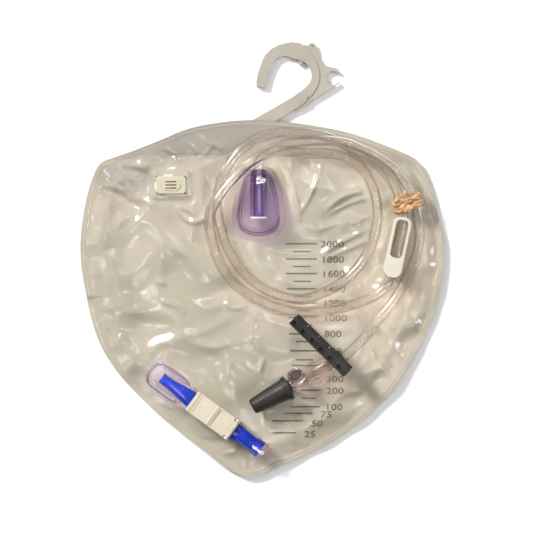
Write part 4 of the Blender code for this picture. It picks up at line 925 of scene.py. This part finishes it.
def film_mesh(name, step, heights):
    """A closed skin of the film's thickness below heights(places, insets, runs)."""
    places, rim = film_places(step)
    flat, _, faces = delaunay_2d_cdt([Vector(p) for p in places], rim, [], INSIDE_ONLY, SAME_POINT)[:3]
    spots = np.array([tuple(p) for p in flat])
    near = [EDGE_FINDER.find((x, y, 0.0)) for x, y in spots]
    insets = [gap for _, _, gap in near]
    runs = [index * EDGE_FINE for _, index, _ in near]
    tops = heights(spots, insets, runs)
    count = len(spots)
    verts = [(x * MM, y * MM, z * MM) for (x, y), z in zip(spots, tops)]
    verts += [(x * MM, y * MM, (z - FILM_T) * MM) for (x, y), z in zip(spots, tops)]
    solid = [tuple(face) for face in faces]
    solid += [tuple(i + count for i in reversed(face)) for face in faces]
    sides = [(a, face[(i + 1) % len(face)]) for face in faces for i, a in enumerate(face)]
    known = set(sides)
    solid += [(b, a, a + count, b + count) for a, b in sides if (b, a) not in known]
    mesh = bpy.data.meshes.new(name)
    mesh.from_pydata(verts, [], solid)
    # The share of the darker tone: along the header partly the film's own tone and partly painted shade, at
    # the folded corner painted shade
    tone_and_shade = mesh.attributes.new("tone_and_shade", "FLOAT", "POINT")
    shares = [tone_and_shade_share(x, y) for x, y in spots]
    tone_and_shade.data.foreach_set("value", shares + shares)
    mesh.shade_smooth()
    mesh.set_sharp_from_angle(angle=FILM_SMOOTH)
    obj = link(bpy.data.objects.new(name, mesh))
    tree = BVHTree.FromPolygons(verts[:count], [tuple(face) for face in faces])
    return obj, tree


front, FRONT_TREE = film_mesh("front_sheet", FRONT_STEP, front_heights)
dressed(front, front_film_material(), "clear_film", "root", "front_film")
rear, _ = film_mesh("rear_sheet", REAR_STEP, rear_heights)
dressed(rear, rear_film_material(), "rear_film", "root", "rear_film")


def on_film(x, y, lift):
    """The point a lift above the front film's face at a place in mm, in metres."""
    hit = FRONT_TREE.ray_cast(Vector((x * MM, y * MM, ABOVE_ALL)), Vector((0, 0, -1)))[0]
    z = hit.z if hit else FILM_TOP * MM
    return Vector((x * MM, y * MM, z + lift * MM))


# The printed scale

# The ink's lift off the film and its thickness, and the widths of the long and the short ticks, mm
INK_LIFT = 0.10
INK_T = 0.06
LONG_TICK = 1.15
SHORT_TICK = 1.0
# Each tick's two ends and its height, in pixels of the photograph
LONG_TICKS = [
    (286, 317, 243.6), (286, 317, 259.0), (286, 317, 273.5), (287, 317, 288.8), (287, 317, 303.0),
    (288, 318, 317.5), (289, 319, 333.8), (290, 319, 350.7), (292, 320, 365.5), (296, 320, 378.5),
    (300, 321, 390.4), (291, 320, 407.0), (284, 313, 413.5), (272, 303, 421.0), (272, 296, 433.0),
]
SHORT_TICKS = [
    (293, 311, 251.5), (293, 311, 266.5), (293, 311, 281.3), (294, 311, 296.0), (294, 312, 310.5),
    (295, 312, 325.0), (296, 312, 341.5), (296, 313, 359.8), (299, 314, 372.5), (301, 316, 398.5),
]
# Each number with its left foot in pixels and its lean in degrees
NUMBERS = [
    ("2000", 320.5, 247.2, 0), ("1800", 321, 262.6, 0), ("1600", 321.5, 277.0, 0), ("1400", 322, 292.3, 0),
    ("1200", 322.5, 306.6, 0), ("1000", 323.5, 321.2, 0), ("800", 324, 337.0, 0), ("600", 324.5, 354.0, 0),
    ("400", 325, 369.0, 0), ("300", 326, 382.2, 0), ("200", 326.3, 394.0, 0), ("100", 325, 410.2, 0),
    ("75", 320, 417.6, 8), ("50", 310.5, 426.6, 10), ("25", 303.5, 437.6, 8),
]
DIGIT_HEIGHT = 5.0
DIGIT_WIDEN = 1.24
DIGIT_BOLD = 0.09
DIGIT_SPACING = 1.05
DIGIT_CURVES = 4
FONT_HEIGHT_SHARE = 0.73  # a digit's height as a share of the font's size
PRINT_GRAIN = 0.7  # the length in mm of the ticks' quads; longer edges than twice that are split
SPLIT_ROUNDS = 4


def tick_faces(bm, x0, x1, y, width):
    """A tick in mm between two pixels, in short quads so that it can follow the film."""
    (left, level), (right, _) = px(x0, y), px(x1, y)
    steps = max(round((right - left) / PRINT_GRAIN), 2)
    places = [left + (right - left) * k / steps for k in range(steps + 1)]
    low = [bm.verts.new((x, level - width / 2, 0)) for x in places]
    high = [bm.verts.new((x, level + width / 2, 0)) for x in places]
    for k in range(steps):
        bm.faces.new((low[k], low[k + 1], high[k + 1], high[k]))


def number_faces(bm, words, x, y, lean):
    """The faces of a number in mm, from Blender's own font."""
    curve = bpy.data.curves.new("digits", "FONT")
    curve.body = words
    curve.size = DIGIT_HEIGHT / FONT_HEIGHT_SHARE
    curve.space_character = DIGIT_SPACING
    curve.shear = math.tan(math.radians(lean))
    curve.resolution_u = DIGIT_CURVES
    curve.offset = DIGIT_BOLD
    holder = link(bpy.data.objects.new("digits", curve))
    graph = bpy.context.evaluated_depsgraph_get()
    mesh = bpy.data.meshes.new_from_object(holder.evaluated_get(graph))
    at_x, at_y = px(x, y)
    mesh.transform(Matrix.Translation((at_x, at_y, 0.0)) @ Matrix.Diagonal((DIGIT_WIDEN, 1.0, 1.0, 1.0)))
    bm.from_mesh(mesh)
    bpy.data.objects.remove(holder)
    bpy.data.meshes.remove(mesh)
    bpy.data.curves.remove(curve)


def make_print():
    """Ticks and numbers as one thin layer of ink that follows the film."""
    bm = bmesh.new()
    for x0, x1, y in LONG_TICKS:
        tick_faces(bm, x0, x1, y, LONG_TICK)
    for x0, x1, y in SHORT_TICKS:
        tick_faces(bm, x0, x1, y, SHORT_TICK)
    for words, x, y, lean in NUMBERS:
        number_faces(bm, words, x, y, lean)
    bmesh.ops.triangulate(bm, faces=bm.faces)
    for _ in range(SPLIT_ROUNDS):
        long = [edge for edge in bm.edges if edge.calc_length() > 2 * PRINT_GRAIN]
        if not long:
            break
        bmesh.ops.subdivide_edges(bm, edges=long, cuts=1)
        bmesh.ops.triangulate(bm, faces=bm.faces)
    for vert in bm.verts:
        vert.co = on_film(vert.co.x, vert.co.y, INK_LIFT)
    if sum(face.normal.z * face.calc_area() for face in bm.faces) < 0:
        bmesh.ops.reverse_faces(bm, faces=bm.faces)
    mesh = bpy.data.meshes.new("printed_scale")
    bm.to_mesh(mesh)
    bm.free()
    obj = link(bpy.data.objects.new("printed_scale", mesh))
    step = obj.modifiers.new("ink", "SOLIDIFY")
    step.thickness = INK_T * MM
    step.offset = 1.0
    return dressed(obj, INK, "black_plastic", "root")


make_print()

# The rubber band: one strand wound round two turns of the tube, twisted as it goes

BAND_AT = (109.4, 39.6)
BAND_TURN = math.radians(17.5)
BAND_SPREAD = 9.4  # between the two turns that it is wound round
BAND_T = 0.8
BAND_SLACK = 1.1
BAND_ROUND = TUBE_R + BAND_T + BAND_SLACK
BAND_WRAPS = 4
BAND_PITCH = 2.5
BAND_LEAN = 1.4
BAND_POINTS = 420
# How the strand strays from an even winding: (height in mm, turns in radians over the winding, start)
STRAYS_ACROSS = ((0.45, 37.0, 0.0), (0.35, 61.0, 1.0))
STRAYS_OUT = ((0.35, 43.0, 0.0),)
STRAND = (1.45, 0.75)  # its half width and half thickness
STRAND_SIDES = 10
STRAND_TWISTS = 17
STRAND_CLEAR = 0.6  # of its half width, kept off the film
# The knot: the share of the winding that it is by, its place from there, and its two ends
KNOT_SHARE = 0.985
KNOT_OFF = Vector((2.0, 3.0, 1.0))
KNOT_ENDS = [
    [(-4.5, -3.5, 0.5), (-1.5, 0.5, 2.0), (2.0, 2.0, 1.0), (4.0, 5.5, 0.6)],
    [(-3.0, 3.5, 0.0), (-0.5, -0.5, 1.6), (2.6, -1.6, 0.6), (5.0, -0.5, 0.2)],
]
KNOT_POINTS = 30
KNOT_TWISTS = 1.5
KNOT_PHASE = 0.8


def stray(t, waves):
    return sum(height * math.sin(t * turns + start) for height, turns, start in waves)


def band_point(t):
    """The strand's centre in the band's own frame in mm, t from 0 to 1 along the whole winding."""
    half = BAND_SPREAD / 2
    straight = 2 * half
    bend = math.pi * BAND_ROUND
    around = 2 * (straight + bend)
    s = (t * BAND_WRAPS * around) % around
    radius = BAND_ROUND + stray(t, STRAYS_OUT)
    if s < straight:
        x, z = -half + s, radius
    elif s < straight + bend:
        a = math.pi / 2 - (s - straight) / BAND_ROUND
        x, z = half + radius * math.cos(a), radius * math.sin(a)
    elif s < 2 * straight + bend:
        x, z = half - (s - straight - bend), -radius
    else:
        a = -math.pi / 2 - (s - 2 * straight - bend) / BAND_ROUND
        x, z = -half + radius * math.cos(a), radius * math.sin(a)
    lean = BAND_LEAN * math.sin(2 * math.pi * s / around)
    y = BAND_PITCH * BAND_WRAPS * (t - 0.5) + stray(t, STRAYS_ACROSS) + lean
    return Vector((x, y, z))


def band_in_place(p):
    """A point of the band's own frame in mm on the bag, kept off the film."""
    x = BAND_AT[0] + p.x * math.cos(BAND_TURN) - p.y * math.sin(BAND_TURN)
    y = BAND_AT[1] + p.x * math.sin(BAND_TURN) + p.y * math.cos(BAND_TURN)
    return Vector((x, y, max(REST_Z + BAND_ROUND + p.z, REST_Z + STRAND[0] * STRAND_CLEAR)))


def strand_rings(bm, line, twists, phase=0.0):
    """A flat strand that twists along a line, as rings of vertices with closed ends."""
    rings = []
    for i, (p, (side, up)) in enumerate(zip(line, path_frames(line))):
        turn = phase + 2 * math.pi * twists * i / (len(line) - 1)
        wide = side * math.cos(turn) + up * math.sin(turn)
        thick = up * math.cos(turn) - side * math.sin(turn)
        ring = []
        for k in range(STRAND_SIDES):
            a = 2 * math.pi * k / STRAND_SIDES
            at = p + wide * (STRAND[0] * math.cos(a)) + thick * (STRAND[1] * math.sin(a))
            ring.append(bm.verts.new(at * MM))
        rings.append(ring)
    for ring, other in zip(rings, rings[1:]):
        bridge(bm, ring, other)
    bm.faces.new(rings[0])
    bm.faces.new(rings[-1])


def make_band():
    """The winding, and the knot's two short ends at its upper right."""
    winding = [band_in_place(band_point(k / (BAND_POINTS - 1))) for k in range(BAND_POINTS)]
    knot = band_in_place(band_point(KNOT_SHARE)) + KNOT_OFF

    def build(bm):
        strand_rings(bm, winding, STRAND_TWISTS)
        for k, end in enumerate(KNOT_ENDS):
            line = smooth_path([knot + Vector(p) for p in end], KNOT_POINTS)
            strand_rings(bm, line, KNOT_TWISTS, KNOT_PHASE * k)

    piece = mesh_piece("twisted_band", build)
    return dressed(piece, RUBBER, "tan_rubber", "root", "rubber_band")


band = make_band()

# Light, floor and background

# Each light's name, place, width and length in metres, and power in watts; all are aimed at the origin
LIGHTS = [
    ("key", (-1.8, 1.6, 1.8), (0.60, 0.60), 134.0),
    ("side", (1.9, -0.2, 1.5), (0.50, 0.50), 20.0),
    ("streak_left", (-0.62, -0.10, 1.25), (0.05, 0.40), 1.9),
    ("streak_top", (0.15, 0.62, 1.25), (0.40, 0.05), 1.9),
    ("streak_right", (0.45, 0.10, 1.30), (0.05, 0.35), 1.4),
    ("streak_low", (-0.20, -0.60, 1.30), (0.35, 0.05), 1.4),
]
# The surroundings' light from low to high: the upward parts of a direction, and the strengths there
SKY_SPAN = (0.05, 0.85)
SKY_STRENGTH = (0.06, 0.33)
SKY_COLOUR = (1.0, 0.985, 0.96)
BACKDROP_STRENGTH = 1.0
FLOOR_HALF = 6.0
FLOOR_Z = -0.0003
FLOOR_COLOUR = (0.80, 0.80, 0.80)


def area_light(name, at, size, power):
    data = bpy.data.lights.new(name, "AREA")
    data.shape = "RECTANGLE"
    data.size, data.size_y = size
    data.energy = power
    light = link(bpy.data.objects.new(name, data))
    light.location = at
    light.rotation_mode = "QUATERNION"
    light.rotation_quaternion = (-Vector(at)).to_track_quat("-Z", "Y")


def make_world():
    """Bright overhead and darker towards the horizon, as a room is; the backdrop itself stays white."""
    world = bpy.data.worlds.new("studio")
    world.use_nodes = True
    nodes, links = world.node_tree.nodes, world.node_tree.links
    coords = nodes.new("ShaderNodeTexCoord")
    split = nodes.new("ShaderNodeSeparateXYZ")
    bands = nodes.new("ShaderNodeMapRange")
    put(bands, From_Min=SKY_SPAN[0], From_Max=SKY_SPAN[1])
    put(bands, To_Min=SKY_STRENGTH[0], To_Max=SKY_STRENGTH[1])
    path = nodes.new("ShaderNodeLightPath")
    backdrop = nodes.new("ShaderNodeMix")
    put(backdrop, B=BACKDROP_STRENGTH)
    links.new(coords.outputs["Generated"], split.inputs["Vector"])
    links.new(split.outputs["Z"], bands.inputs["Value"])
    links.new(path.outputs["Is Camera Ray"], backdrop.inputs["Factor"])
    links.new(bands.outputs["Result"], backdrop.inputs["A"])
    background = nodes["Background"]
    put(background, Color=(*SKY_COLOUR, 1.0))
    links.new(backdrop.outputs["Result"], background.inputs["Strength"])
    bpy.context.scene.world = world


def make_light():
    for name, at, size, power in LIGHTS:
        area_light(name, at, size, power)
    make_world()
    bpy.context.scene.view_settings.view_transform = "Standard"


def make_floor():
    def build(bm):
        corners = [(-1, -1), (1, -1), (1, 1), (-1, 1)]
        bm.faces.new([bm.verts.new((x * FLOOR_HALF, y * FLOOR_HALF, FLOOR_Z)) for x, y in corners])

    floor = mesh_piece("floor", build)
    floor.data.materials.append(principled("floor_white", FLOOR_COLOUR, 0.9, Specular_IOR_Level=0.1))


make_light()
make_floor()
